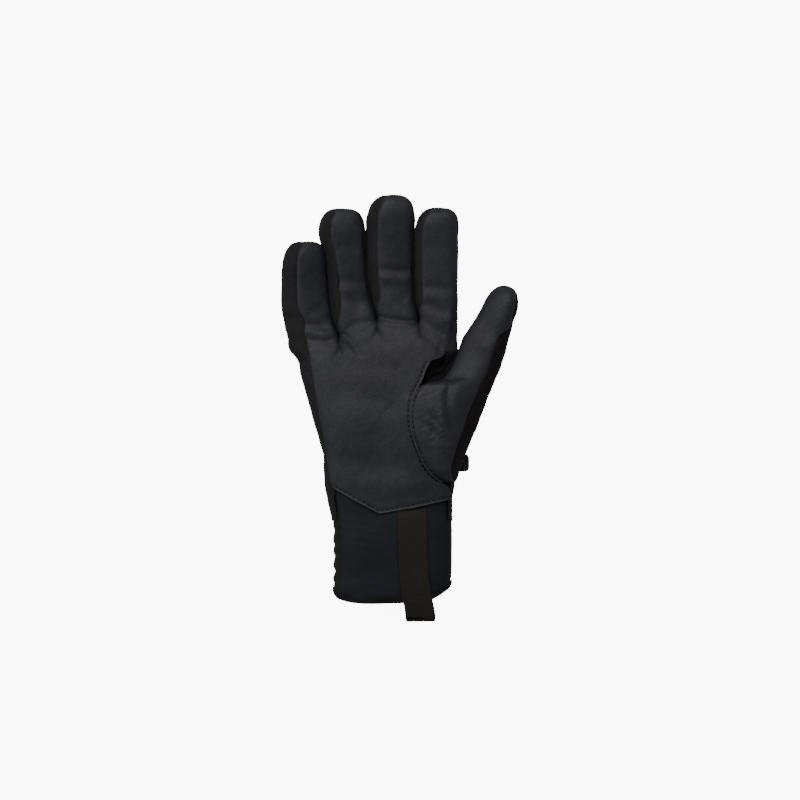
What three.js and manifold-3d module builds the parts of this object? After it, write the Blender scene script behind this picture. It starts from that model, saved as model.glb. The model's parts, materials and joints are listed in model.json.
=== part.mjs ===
// A right-hand insulated ski glove, laid flat on its back with the palm up.
//
// Frame: millimetres, +X towards the thumb side, +Y towards the fingertips, +Z out of the palm.
// The origin is on the surface that the glove lies on, under the middle of the hand.
//
// The glove is a stack of layers: an outer shell of leather, woven fabric and neoprene, a waterproof
// insert, insulation and a fleece lining, all hollow for the hand. The real shell panels run over the
// knuckles in one piece; here they are parted at each fold line, with a V-shaped relief on the palm
// side, so that every stretch between two folds is one stiff solid.
import * as THREE from "three";
import { mergeVertices } from "three/addons/utils/BufferGeometryUtils.js";
import Module from "manifold-3d";

const wasm = await Module();
wasm.setup();

// ---- Driving dimensions, in millimetres and degrees -------------------------------------------

const GAP = 0.3; // clearance kept between touching pieces
const SHELL = 1.2; // leather and shell fabric
const MEMBRANE = 0.6; // waterproof insert
const INSULATION = 2.6;
const FLEECE = 1.1;
const NEOPRENE = 3.2;
const FINGER_PADDING = 2.8; // insulation and fleece of a finger, bonded together

// Depth below the outer surface at which each inner layer of the hand starts.
const MEMBRANE_AT = SHELL + GAP;
const INSULATION_AT = MEMBRANE_AT + MEMBRANE + GAP;
const FLEECE_AT = INSULATION_AT + INSULATION + GAP;
const FINGER_PADDING_AT = SHELL + GAP;

const KNUCKLE_FOLD = 60; // how far a finger folds at its base
const MIDDLE_FOLD = 75; // and at its middle joint
const THUMB_SWING = 28; // the thumb over the palm
const THUMB_FOLD = 20; // the thumb's own end joint
const WRIST_FOLD = 35; // the cuff towards the palm

const FOLD_LEAN = 3; // the turn from +X towards +Y of every fold line across the fingers
const FOLD_ROLL = 5; // and its slope down towards the thumb side

const TIP = 13; // length of a finger's rounded end
const TIP_END = 0.96; // share of that length where the shell panels stop

// Each finger: base is the middle of its root between the two crotches, lean is its turn from +Y
// towards -X, half is the half width at the root and along the body, knuckle and middle are the
// distances of its two fold lines from the root. height is the middle's distance above the resting
// surface at the root and lift the rise from there to the tip. front gives the angles of the leather's two seams
// round the section, from +X over the palm side; walls lists the sides that have a wall strip.
const FINGERS = [
  {
    name: "little", base: [-45.6, 44.5], lean: 5.7, length: 65, half: [13.4, 13.8], thick: 10.6,
    roll: 6, knuckle: 9, middle: 31, height: 15, lift: 6, front: [40, 122], walls: ["inner"],
  },
  {
    name: "ring", base: [-16.6, 54.5], lean: 7.2, length: 77, half: [12.9, 14.1], thick: 10.9,
    roll: 5, knuckle: 11, middle: 37, height: 15, lift: 8, front: [38, 142], walls: ["inner", "outer"],
  },
  {
    name: "middle", base: [9.7, 60.2], lean: 3.1, length: 79, half: [12.9, 14.3], thick: 11.0,
    roll: 4, knuckle: 11, middle: 38, height: 15, lift: 9, front: [38, 142], walls: ["inner", "outer"],
  },
  {
    name: "index", base: [36.0, 58.8], lean: 0.3, length: 72.5, half: [12.8, 13.7], thick: 10.8,
    roll: 3, knuckle: 11, middle: 36, height: 15, lift: 8, front: [4, 142], walls: ["outer"],
  },
];

// The hand from the wrist to the knuckles: y, left edge, right edge, underside, top.
const HAND = [
  [-57.5, -36.6, 45.6, 5.4, 34.4],
  [-46, -38.4, 47.3, 5.4, 35.4],
  [-22, -40.8, 47.3, 5.2, 37.5],
  [-3, -46.7, 47.4, -1.6, 37.6],
  [16, -52, 47.6, -1.6, 35.6],
  [36, -57, 49, -1.6, 32.5],
  [52, -60.6, 49.6, 0.2, 29],
  [74, -62.5, 49.8, 1.6, 28.5],
];
const WRIST_Y = -57.5;
const KNUCKLE_END_Y = 74;

// The cuff from the wrist to the hem, in the same columns.
const CUFF = [
  [-126, -31.5, 41, 5, 35.4],
  [-118, -32.2, 44.4, 4.8, 36.2],
  [-88, -31.8, 45, 5, 36],
  [-58.5, -35.8, 45.4, 5.4, 34.6],
];
const HEM_Y = -124.5;
const BINDING = 4.5; // depth of the hem binding

// The thumb: its axis from the heel of the hand to the tip, leaning from +Y towards +X.
const THUMB = {
  name: "thumb", base: [44.5, -16], lean: -19.6, length: 102.5, half: [15.6, 11.6], thick: 11.6,
  roll: -24, knuckle: 30, middle: 68.5, height: 18, lift: 3, front: [-12, 150], walls: [],
};
const THUMB_HINGE = [36, -8, 16]; // a point on the line that the thumb swings about
const THUMB_HINGE_LEAN = 11.5; // that line's turn from +Y towards +X
const THUMB_TOP_Y = 41; // the web between thumb and index finger
const THUMB_HEEL_Y = -41.5;

const STRAP_Y = -34.5; // the wrist strap across the back of the wrist
const STRAP_WIDTH = 22;
const STRAP_THICK = 1.4;
const TAPE_THICK = 1.1; // each half of the hook-and-loop fastening
const TAB_WIDTH = 11.6;

const WEBBING_WIDTH = 19.5; // the pull loop
const WEBBING_THICK = 1.3;
const LOOP_END_Y = -136.6;
const LOOP_X = 23.2; // middle of the loop at the hem
const LOOP_HINGE_Z = 32.2;

const COLOURS = {
  leather: 0x303035, woven: 0x222124, neoprene: 0x1b1a1f, webbing: 0x1d1a18, suede: 0x241f1f,
  insert: 0x8b9097, padding: 0xc9c9c4, fleece: 0x3a3a3e, rubber: 0x232223, tape: 0x161616, label: 0xb9b9b5,
};

// The angles at which each kind of section is divided, the same in every layer so that the layers
// stay parallel.
const HAND_ANGLES = [0, 12, 25, 46, 68, 90, 112, 134, 150, 164, 180, 184, 200, 220, 244, 270, 296, 318, 335, 356, 360];
const CUFF_ANGLES = [0, 22, 45, 68, 90, 112, 135, 158, 180, 202, 225, 248, 270, 292, 315, 331, 345, 360];
const FINGER_ANGLES = [0, 38, 64, 90, 116, 142, 180, 218, 244, 270, 296, 322, 360];

// ---- Small helpers ----------------------------------------------------------------------------

const radians = THREE.MathUtils.degToRad;
const mix = THREE.MathUtils.lerp;
const root = new THREE.Group();

/** The power that keeps its sign, which squares off a cosine or sine into a rounded box. */
const squared = (value, power) => Math.sign(value) * Math.abs(value) ** power;

/** A row of a table of sections at height y, by straight interpolation. */
function sectionAt(table, y) {
  const last = table.length - 1;
  let i = 0;
  while (i < last - 1 && y > table[i + 1][0]) i += 1;
  const t = THREE.MathUtils.clamp((y - table[i][0]) / (table[i + 1][0] - table[i][0]), 0, 1);
  return table[i].map((value, k) => mix(value, table[i + 1][k], t));
}

/** A point on a flat tube at height y: a rounded box section, taken in by depth. */
function tubePoint(table, angle, y, depth, squareness = 3) {
  const [, left, right, low, high] = sectionAt(table, y);
  const c = squared(Math.cos(radians(angle)), 2 / squareness);
  const s = squared(Math.sin(radians(angle)), 2 / squareness);
  const x = (left + right) / 2 + c * ((right - left) / 2 - depth);
  const z = (low + high) / 2 + s * ((high - low) / 2 - depth);
  return new THREE.Vector3(x, y, Math.max(z, depth));
}

const handPoint = (angle, y, depth) => tubePoint(HAND, angle, y, depth);
const cuffPoint = (angle, y, depth) => tubePoint(CUFF, angle, y, depth);

/** The frame of a finger at distance s from its root: origin, across, along and palm-side axes. */
function fingerFrame(f, s) {
  const lean = radians(f.lean);
  const rise = (2 * f.lift * s) / f.length ** 2;
  const along = new THREE.Vector3(-Math.sin(lean), Math.cos(lean), rise).normalize();
  const level = new THREE.Vector3(Math.cos(lean), Math.sin(lean), 0);
  const across = level.clone().applyAxisAngle(along, radians(f.roll));
  const out = new THREE.Vector3().crossVectors(across, along);
  const origin = new THREE.Vector3(
    f.base[0] - Math.sin(lean) * s,
    f.base[1] + Math.cos(lean) * s,
    f.height + f.lift * (s / f.length) ** 2,
  );
  return { origin, across, along, out };
}

/** A point on a finger: a rounded box section that narrows over the tip, taken in by depth. */
function fingerPoint(f, angle, s, depth) {
  const near = THREE.MathUtils.clamp((s - (f.length - TIP)) / TIP, 0, 1);
  const { origin, across, along, out } = fingerFrame(f, s);
  const width = mix(f.half[0], f.half[1], THREE.MathUtils.smoothstep(s, 0, f.middle));
  const narrow = (1 - near ** 2.6) ** (1 / 2.6);
  const flat = Math.sqrt(1 - near ** 2);
  const x = squared(Math.cos(radians(angle)), 0.7) * (width - depth) * narrow;
  const z = squared(Math.sin(radians(angle)), 0.7) * (f.thick - depth) * flat;
  return origin
    .addScaledVector(across, x)
    .addScaledVector(out, z)
    .addScaledVector(along, -depth * near);
}

/** A closed mesh's geometry from points and triangles, turned to face outwards. */
function closedGeometry(points, triangles) {
  const volume = triangles.reduce((sum, [a, b, c]) => {
    const side = new THREE.Vector3().crossVectors(points[b], points[c]);
    return sum + points[a].dot(side);
  }, 0);
  const index = triangles.flatMap(([a, b, c]) => (volume > 0 ? [a, b, c] : [a, c, b]));
  const geometry = new THREE.BufferGeometry();
  geometry.setAttribute(
    "position",
    new THREE.Float32BufferAttribute(points.flatMap((p) => p.toArray()), 3),
  );
  geometry.setIndex(index);
  return geometry;
}

/**
 * A curved plate: the patch that surface(u, v, depth) covers between two depths, closed all round.
 * us and vs are the grid's values; with ring true the last column joins the first.
 */
function plate(surface, us, vs, outer, inner, ring = false) {
  const columns = ring ? us.length - 1 : us.length;
  const points = [];
  for (const depth of [outer, inner])
    for (const v of vs)
      for (let i = 0; i < columns; i += 1) points.push(surface(us[i], v, depth));
  const at = (layer, j, i) => layer * vs.length * columns + j * columns + (i % columns);
  const triangles = [];
  const quad = (a, b, c, d) => triangles.push([a, b, c], [a, c, d]);
  for (let j = 0; j < vs.length - 1; j += 1)
    for (let i = 0; i < us.length - 1; i += 1) {
      quad(at(0, j, i), at(0, j, i + 1), at(0, j + 1, i + 1), at(0, j + 1, i));
      quad(at(1, j, i), at(1, j + 1, i), at(1, j + 1, i + 1), at(1, j, i + 1));
    }
  const top = vs.length - 1;
  for (let i = 0; i < us.length - 1; i += 1) {
    quad(at(0, 0, i + 1), at(0, 0, i), at(1, 0, i), at(1, 0, i + 1));
    quad(at(0, top, i), at(0, top, i + 1), at(1, top, i + 1), at(1, top, i));
  }
  const end = us.length - 1;
  for (let j = 0; j < top && !ring; j += 1) {
    quad(at(0, j, 0), at(0, j + 1, 0), at(1, j + 1, 0), at(1, j, 0));
    quad(at(0, j + 1, end), at(0, j, end), at(1, j, end), at(1, j + 1, end));
  }
  return closedGeometry(points, triangles);
}

/** A closed plug that fills surface(u, v, depth) from the first v to the last, with flat ends. */
function plug(surface, us, vs, depth) {
  const columns = us.length - 1;
  const points = vs.flatMap((v) => us.slice(0, -1).map((u) => surface(u, v, depth)));
  const at = (j, i) => j * columns + (i % columns);
  const triangles = [];
  for (let j = 0; j < vs.length - 1; j += 1)
    for (let i = 0; i < columns; i += 1)
      triangles.push(
        [at(j, i), at(j, i + 1), at(j + 1, i + 1)],
        [at(j, i), at(j + 1, i + 1), at(j + 1, i)],
      );
  const top = vs.length - 1;
  for (let i = 1; i < columns - 1; i += 1)
    triangles.push([at(0, 0), at(0, i + 1), at(0, i)], [at(top, 0), at(top, i), at(top, i + 1)]);
  return closedGeometry(points, triangles);
}

/** The angles from one seam to another: both ends, and every shared angle strictly between them. */
function angles(shared, from, to) {
  const turns = [-360, 0, 360].flatMap((turn) => shared.slice(0, -1).map((a) => a + turn));
  return [from, ...turns.filter((a) => a > from + 1 && a < to - 1), to];
}

/** Evenly spaced values from a to b. */
const steps = (a, b, n) => Array.from({ length: n + 1 }, (_, i) => mix(a, b, i / n));

/** A geometry as a manifold-3d solid. */
function solid(geometry) {
  const bare = new THREE.BufferGeometry();
  bare.setAttribute("position", geometry.getAttribute("position"));
  bare.setIndex(geometry.getIndex());
  const merged = mergeVertices(bare, 1e-4);
  return new wasm.Manifold(
    new wasm.Mesh({
      numProp: 3,
      vertProperties: merged.getAttribute("position").array,
      triVerts: new Uint32Array(merged.getIndex().array),
    }),
  );
}

/** A solid's biggest body as a three.js geometry. */
function geometryOf(body) {
  const bodies = body.decompose().sort((a, b) => b.volume() - a.volume());
  const mesh = bodies[0].getMesh();
  const geometry = new THREE.BufferGeometry();
  geometry.setAttribute("position", new THREE.Float32BufferAttribute(mesh.vertProperties, 3));
  geometry.setIndex(Array.from(mesh.triVerts));
  return geometry;
}

/** A geometry with each cutter taken away. */
const carve = (geometry, cutters) =>
  geometryOf(cutters.reduce((body, cutter) => body.subtract(solid(cutter)), solid(geometry)));

/** Adds a named mesh of one material to the glove. */
function add(name, geometry, colour, roughness = 0.8) {
  const material = new THREE.MeshStandardMaterial({ color: COLOURS[colour], roughness, metalness: 0 });
  const mesh = new THREE.Mesh(geometry, material);
  mesh.name = name;
  root.add(mesh);
  return mesh;
}

// ---- Fold lines -------------------------------------------------------------------------------

const REACH = 60; // how far a cutter reaches past the glove

/**
 * A cutter that clears one side of a fold line. frame holds the hinge point and axes, fold is the
 * full fold in degrees, and side is +1 to clear what lies beyond the hinge, -1 what lies before it.
 * Its edge is upright on the back side and slopes away by half the fold on the palm side.
 */
function foldCutter(frame, fold, side, width) {
  const slope = Math.tan(radians(fold / 2 + 1));
  const outline = [
    [-GAP, -REACH], [-GAP, 0], [-GAP - REACH * slope, REACH], [4 * REACH, REACH], [4 * REACH, -REACH],
  ];
  const shape = new THREE.Shape(outline.map(([x, y]) => new THREE.Vector2(side * x, y)));
  const geometry = new THREE.ExtrudeGeometry(shape, { depth: width, bevelEnabled: false });
  geometry.translate(0, 0, -width / 2);
  const matrix = new THREE.Matrix4().makeBasis(frame.along, frame.out, frame.across);
  geometry.applyMatrix4(matrix.setPosition(frame.origin));
  const bare = new THREE.BufferGeometry();
  bare.setAttribute("position", geometry.getAttribute("position"));
  return mergeVertices(bare, 1e-4);
}

/** The hinge frame of a fold line across a finger: the fold lines of the four fingers are parallel. */
function foldFrame(f, s) {
  const { origin, along, across } = fingerFrame(f, s);
  if (f !== THUMB) {
    const [lean, roll] = [radians(FOLD_LEAN), radians(FOLD_ROLL)];
    across.set(Math.cos(lean) * Math.cos(roll), Math.sin(lean) * Math.cos(roll), -Math.sin(roll));
  }
  const out = new THREE.Vector3().crossVectors(across, along).normalize();
  return { origin, across, along: new THREE.Vector3().crossVectors(out, across), out };
}

/** The hinge frame of the thumb's swing over the palm. */
function swingFrame() {
  const lean = radians(THUMB_HINGE_LEAN);
  return {
    origin: new THREE.Vector3(...THUMB_HINGE),
    along: new THREE.Vector3(Math.cos(lean), -Math.sin(lean), 0),
    out: new THREE.Vector3(0, 0, 1),
    across: new THREE.Vector3(-Math.sin(lean), -Math.cos(lean), 0),
  };
}

/** The hinge frame of the wrist: the cuff folds towards the palm about the X axis. */
const wristFrame = {
  origin: new THREE.Vector3(0, (WRIST_Y + CUFF[3][0]) / 2, 17),
  along: new THREE.Vector3(0, -1, 0),
  out: new THREE.Vector3(0, 0, 1),
  across: new THREE.Vector3(-1, 0, 0),
};

// ---- The hand ---------------------------------------------------------------------------------

const handEnds = FINGERS.map((f) =>
  foldCutter(foldFrame(f, f.knuckle), KNUCKLE_FOLD, 1, f.name === "middle" ? 27.6 : 31),
);
const handCutters = [
  ...handEnds,
  foldCutter(wristFrame, WRIST_FOLD, 1, 4 * REACH),
];

/** The opening in the hand's side that the thumb joins, as a block beyond its swing line. */
function thumbWindow() {
  const span = THUMB_TOP_Y - THUMB_HEEL_Y;
  const frame = swingFrame();
  frame.origin.addScaledVector(frame.across, frame.origin.y - (THUMB_TOP_Y + THUMB_HEEL_Y) / 2);
  return foldCutter(frame, THUMB_SWING, 1, span);
}

const HAND_ROWS = HAND.map(([y]) => y);

/** One layer of the hand between two angles round the section, cut to the fold lines. */
function handLayer(name, from, to, depth, thickness, colour, rows = HAND_ROWS) {
  const columns = angles(HAND_ANGLES, from, to);
  const geometry = plate(handPoint, columns, rows, depth, depth + thickness, to - from === 360);
  add(name, carve(geometry, [...handCutters, thumbWindow()]), colour);
}

function buildHand() {
  handLayer("palm_panel", 25.5, 149, 0, SHELL, "leather");
  handLayer("back_panel", 150.5, 334, 0, SHELL, "woven");
  handLayer("index_thumb_gusset", -25, 24, 0, SHELL, "leather", [THUMB_TOP_Y + 4, ...HAND_ROWS.slice(-2)]);
  handLayer("waterproof_insert", 0, 360, MEMBRANE_AT, MEMBRANE, "insert");
  handLayer("palm_insulation", 0, 180, INSULATION_AT, INSULATION, "padding");
  handLayer("back_insulation", 184, 356, INSULATION_AT, INSULATION, "padding");
  handLayer("hand_lining", 0, 360, FLEECE_AT, FLEECE, "fleece");
}

// ---- Fingers and thumb ------------------------------------------------------------------------

/** The stations along a finger, closer together over the tip. */
function fingerRows(f, from) {
  const start = f.length - TIP;
  return [from, f.knuckle + 8, f.middle, start - 4, start, start + TIP * 0.5, start + TIP * 0.8, start + TIP * TIP_END];
}

/** A finger's layer in one piece from before its first fold line to its tip. */
function fingerStrip(f, from, to, rows) {
  const surface = (angle, s, depth) => fingerPoint(f, angle, s, depth);
  return plate(surface, angles(FINGER_ANGLES, from, to), rows, 0, SHELL);
}

/** The padding and lining of a finger: a thick closed-end tube with the finger's cavity in it. */
function fingerPadding(f, from) {
  const surface = (angle, s, depth) => fingerPoint(f, angle, s, depth);
  const rows = fingerRows(f, from);
  const around = FINGER_ANGLES;
  const body = plug(surface, around, rows, FINGER_PADDING_AT);
  const cavity = plug(surface, around, [from - 3, ...rows.slice(1)], FINGER_PADDING_AT + FINGER_PADDING);
  return geometryOf(solid(body).subtract(solid(cavity)));
}

/** Parts a finger's layer at the fold lines into a base and a tip piece. */
function partFinger(f, layer, geometry, colour, baseCutters, fold) {
  const middle = foldFrame(f, f.middle);
  const wide = 3 * REACH;
  const baseOnly = [...baseCutters, foldCutter(middle, fold, 1, wide)];
  const tipOnly = [foldCutter(middle, fold, -1, wide)];
  add(`${f.name}_base_${layer}`, carve(geometry, baseOnly), colour);
  add(`${f.name}_tip_${layer}`, carve(geometry, tipOnly), colour);
}

const SEAM = 1.6; // degrees left open on each side of a seam

function buildFinger(f) {
  const from = f.knuckle - 9;
  const rows = fingerRows(f, from);
  const [right, left] = f.front;
  const backRight = f.walls.includes("inner") ? -38 : right - 2 * SEAM;
  const backLeft = f.walls.includes("outer") ? 218 : left + 2 * SEAM;
  const strips = {
    front: [right, left, "leather"],
    back: [backLeft, 360 + backRight, "woven"],
  };
  if (f.walls.includes("inner")) strips.inner_wall = [-38 + 2 * SEAM, right - 2 * SEAM, "woven"];
  if (f.walls.includes("outer")) strips.outer_wall = [left + 2 * SEAM, 218 - 2 * SEAM, "woven"];
  const baseCutters = [foldCutter(foldFrame(f, f.knuckle), KNUCKLE_FOLD, -1, 3 * REACH)];
  for (const [layer, [a, b, colour]] of Object.entries(strips))
    partFinger(f, layer, fingerStrip(f, a, b, rows), colour, baseCutters, MIDDLE_FOLD);
  partFinger(f, "padding", fingerPadding(f, from), "padding", baseCutters, MIDDLE_FOLD);
}

function buildThumb() {
  const f = THUMB;
  const from = -24;
  const rows = [from, 0, 20, ...fingerRows(f, from).slice(2)];
  const baseCutters = [foldCutter(swingFrame(), THUMB_SWING, -1, 4 * REACH)];
  const [right, left] = f.front;
  const front = fingerStrip(f, right, left, rows);
  const back = fingerStrip(f, left + 2 * SEAM, 360 + right - 2 * SEAM, rows);
  partFinger(f, "front", front, "leather", baseCutters, THUMB_FOLD);
  partFinger(f, "back", back, "suede", baseCutters, THUMB_FOLD);
  partFinger(f, "padding", fingerPadding(f, from), "padding", baseCutters, THUMB_FOLD);
}

// ---- The cuff ---------------------------------------------------------------------------------

const CUFF_ROWS = [HEM_Y + BINDING + GAP, -117, -88, CUFF[3][0]];
const cuffCutters = [foldCutter(wristFrame, WRIST_FOLD, -1, 4 * REACH)];

function buildCuff() {
  const front = plate(cuffPoint, angles(CUFF_ANGLES, -28, 158), CUFF_ROWS, 0, NEOPRENE);
  add("cuff_neoprene", carve(front, cuffCutters), "neoprene");
  const back = plate(cuffPoint, angles(CUFF_ANGLES, 159.5, 330.5), CUFF_ROWS, 0, NEOPRENE);
  add("cuff_back_panel", carve(back, cuffCutters), "woven");
  const lining = plate(cuffPoint, CUFF_ANGLES, CUFF_ROWS, NEOPRENE + GAP, NEOPRENE + GAP + FLEECE, true);
  add("cuff_lining", carve(lining, cuffCutters), "fleece");
  const hem = [HEM_Y, HEM_Y + BINDING];
  add("hem_binding", plate(cuffPoint, CUFF_ANGLES, hem, 0, NEOPRENE + FLEECE, true), "webbing");
}

/** A box between two corners. */
function block(low, high) {
  const size = low.map((value, k) => high[k] - value);
  const geometry = new THREE.BoxGeometry(...size);
  geometry.translate(...low.map((value, k) => value + size[k] / 2));
  return geometry;
}

/** The blank label sewn to the lining inside the mouth of the cuff, on the back side. */
function buildLabel() {
  const [width, length, thickness] = [26, 14, 0.6];
  const z = CUFF[1][3] + NEOPRENE + GAP + FLEECE + 1.2;
  add("size_label", block([-width / 2 + 6, -114, z], [width / 2 + 6, -114 + length, z + thickness]), "label");
}

/** The webbing sewn from the wrist seam to the hem: a strip that follows the neoprene. */
function buildPullStrap() {
  const surface = (u, y, depth) => {
    const [, , , , high] = sectionAt(CUFF, y);
    const x = mix(18.2, LOOP_X, (y + 67) / (HEM_Y + 67)) + u * WEBBING_WIDTH / 2;
    return new THREE.Vector3(x, y, high + GAP + WEBBING_THICK - depth);
  };
  const rows = [HEM_Y + 2.4, HEM_Y + BINDING, -104, -88, -67.5];
  add("pull_strap", plate(surface, [-1, 1], rows, 0, WEBBING_THICK), "webbing");
}

/** The free end of the webbing, which turns back under itself to make an open loop. */
function buildPullLoop() {
  const outer = 5.1; // half the height of the loop over its outside
  const inner = outer - WEBBING_THICK;
  const start = 2.6; // the loop's two ends stop this far from its hinge line
  const reach = HEM_Y - LOOP_END_Y - outer;
  const arc = (r, back) => steps(90, -90, 8).map((a) => {
    const turn = radians(back ? -a : a);
    return new THREE.Vector2(reach + r * Math.cos(turn), r * Math.sin(turn));
  });
  const outline = [
    new THREE.Vector2(start, outer), ...arc(outer, false), new THREE.Vector2(start, -outer),
    new THREE.Vector2(start, -inner), ...arc(inner, true), new THREE.Vector2(start, inner),
  ];
  const shape = new THREE.Shape(outline);
  const geometry = new THREE.ExtrudeGeometry(shape, { depth: WEBBING_WIDTH, bevelEnabled: false });
  geometry.translate(0, 0, -WEBBING_WIDTH / 2);
  const basis = new THREE.Matrix4().makeBasis(
    new THREE.Vector3(0, -1, 0), new THREE.Vector3(0, 0, 1), new THREE.Vector3(-1, 0, 0),
  );
  geometry.applyMatrix4(basis.setPosition(LOOP_X + 1, HEM_Y, LOOP_HINGE_Z));
  add("pull_loop", geometry, "webbing");
}

// ---- The wrist strap --------------------------------------------------------------------------

/** A strip that lies under the wrist, following the underside of the hand at a set distance. */
function understrip(x0, x1, width, below, thickness, columns) {
  const surface = (x, y, depth) => {
    const [, , , low] = sectionAt(HAND, y);
    return new THREE.Vector3(x, y, low - below - depth);
  };
  const ys = [STRAP_Y - width / 2, STRAP_Y, STRAP_Y + width / 2];
  return plate(surface, steps(x0, x1, columns), ys, 0, thickness);
}

function buildWristStrap() {
  const tape = GAP;
  const hook = tape + TAPE_THICK + GAP;
  const strap = hook + TAPE_THICK + GAP;
  const narrow = STRAP_WIDTH - 4;
  add("loop_tape", understrip(-14, 26, narrow, tape, TAPE_THICK, 2), "tape", 0.95);
  add("hook_tape", understrip(-2, 26, narrow, hook, TAPE_THICK, 2), "tape", 0.95);
  add("wrist_strap", understrip(-30, 36, STRAP_WIDTH, strap, STRAP_THICK, 3), "webbing");
  buildStrapTab(strap);
}

/** The moulded grip on the strap's end: a rounded tongue that stands out past the thumb side. */
function buildStrapTab(below) {
  const [, , , low] = sectionAt(HAND, STRAP_Y);
  const [start, end, rise] = [36.4, 56.4, 6.5];
  const surface = (t, v, depth) => {
    const x = mix(start, end, t);
    const taper = t > 0.8 ? 1 - 0.25 * ((t - 0.8) / 0.2) ** 2 : 1;
    const z = low - below - depth + rise * t ** 2;
    return new THREE.Vector3(x, STRAP_Y + (v * taper * TAB_WIDTH) / 2, z);
  };
  add("strap_tab", plate(surface, [0, 0.3, 0.55, 0.8, 0.92, 1], [-1, 1], 0, 2), "rubber", 0.6);
}

// ---- The whole glove --------------------------------------------------------------------------

buildHand();
FINGERS.forEach(buildFinger);
buildThumb();
buildCuff();
buildLabel();
buildPullStrap();
buildPullLoop();
buildWristStrap();

export default root;
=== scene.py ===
import json
import math

import bpy
import numpy as np
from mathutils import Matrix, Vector


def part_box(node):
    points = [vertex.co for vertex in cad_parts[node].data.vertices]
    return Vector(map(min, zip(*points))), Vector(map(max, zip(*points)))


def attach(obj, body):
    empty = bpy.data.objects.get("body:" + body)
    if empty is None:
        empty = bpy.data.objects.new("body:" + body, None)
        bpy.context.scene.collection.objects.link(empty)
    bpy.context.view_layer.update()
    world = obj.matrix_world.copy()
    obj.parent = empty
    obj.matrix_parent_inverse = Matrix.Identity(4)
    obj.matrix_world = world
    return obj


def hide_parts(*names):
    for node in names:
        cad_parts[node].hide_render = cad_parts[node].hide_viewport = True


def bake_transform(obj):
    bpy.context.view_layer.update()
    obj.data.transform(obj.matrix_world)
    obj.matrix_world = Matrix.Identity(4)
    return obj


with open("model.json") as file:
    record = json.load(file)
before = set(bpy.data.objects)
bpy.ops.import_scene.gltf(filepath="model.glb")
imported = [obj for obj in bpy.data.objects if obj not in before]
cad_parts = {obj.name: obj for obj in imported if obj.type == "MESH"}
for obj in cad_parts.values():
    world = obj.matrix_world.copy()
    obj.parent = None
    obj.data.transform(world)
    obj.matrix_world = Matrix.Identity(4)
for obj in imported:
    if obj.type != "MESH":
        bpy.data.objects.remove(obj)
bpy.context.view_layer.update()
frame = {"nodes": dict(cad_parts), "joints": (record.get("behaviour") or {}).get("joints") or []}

bl_info = {
    "name": "Ski Glove",
    "version": (1, 0, 0),
    "blender": (4, 5, 0),
    "location": "View3D > Sidebar > Glove",
    "description": "Makes a right-hand insulated ski glove, palm up, over its packed model",
    "category": "Object",
}

MM = 0.001
STRAP_BOX = [np.array(corner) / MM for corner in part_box("wrist_strap")]
TAB_BOX = [np.array(corner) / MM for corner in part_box("strap_tab")]
LABEL_BOX = [np.array(corner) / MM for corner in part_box("size_label")]
BACK = -1.0  # multiplies a height to put it on the back of the hand

# ---- Curves and sections, all in millimetres ---------------------------------------------------


def smooth(t):
    """An S-shaped step from 0 at t = 0 to 1 at t = 1: 3t squared minus 2t cubed."""
    t = np.clip(t, 0.0, 1.0)
    return t * t * (3 - 2 * t)


def curve(points, t):
    """A smooth curve through a few points, each (parameter, value, ...), at the parameters t.

    Between two points it is the cubic whose slopes are the mean of the slopes on both sides, or
    level at a turning point.
    """
    points = np.asarray(points, float)
    x, y = points[:, 0], points[:, 1:]
    slope = np.diff(y, axis=0) / np.diff(x)[:, None]
    middle = (slope[1:] + slope[:-1]) / 2
    middle[slope[1:] * slope[:-1] <= 0] = 0
    tangent = np.vstack([slope[:1], middle, slope[-1:]])
    t = np.clip(np.asarray(t, float), x[0], x[-1])
    i = np.clip(np.searchsorted(x, t, side="right") - 1, 0, len(x) - 2)
    step = (x[i + 1] - x[i])[..., None]
    f = ((t - x[i]) / step[..., 0])[..., None]
    value = (
        (1 + 2 * f) * (1 - f) ** 2 * y[i]
        + f * (1 - f) ** 2 * step * tangent[i]
        + f * f * (3 - 2 * f) * y[i + 1]
        + f * f * (f - 1) * step * tangent[i + 1]
    )
    return value[..., 0] if value.shape[-1] == 1 else value


def mix(a, b, t):
    """The straight mixture of a and b."""
    return a + (b - a) * t


def shares(count):
    """Evenly spread values from 0 to 1."""
    return np.linspace(0, 1, count)


def unit(vectors):
    """The vectors, made one long."""
    return vectors / np.linalg.norm(vectors, axis=-1, keepdims=True)


def tangents(path):
    """The direction of a path at each of its points."""
    return unit(np.gradient(path, axis=0))


def superellipse(angle, power):
    """Across and up at an angle in degrees: (cos a)^(2/n) and (sin a)^(2/n) with their signs kept."""
    c, s = np.cos(np.radians(angle)), np.sin(np.radians(angle))
    return np.sign(c) * np.abs(c) ** (2 / power), np.sign(s) * np.abs(s) ** (2 / power)


def rounded_box(angle, power, roll):
    """Across and up for a rounded box section at an angle in degrees, turned by roll degrees.

    A superellipse four fifths as high as wide is turned and then scaled so that it just fills
    -1 to 1 both ways.
    """

    def turned(a, r):
        """The superellipse at angle a, turned by r degrees."""
        across, up = superellipse(a, power)
        up = up * 0.8
        r = np.radians(r)
        return across * np.cos(r) + up * np.sin(r), up * np.cos(r) - across * np.sin(r)

    angle, roll = np.broadcast_arrays(np.asarray(angle, float), np.asarray(roll, float))
    around = np.linspace(0, 360, 181)
    rolls = np.linspace(-40, 40, 81)
    wide, high = turned(around[None, :], rolls[:, None])
    width = np.interp(roll, rolls, np.abs(wide).max(axis=1))
    height = np.interp(roll, rolls, np.abs(high).max(axis=1))
    across, up = turned(angle, roll)
    return across / width, up / height


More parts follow.
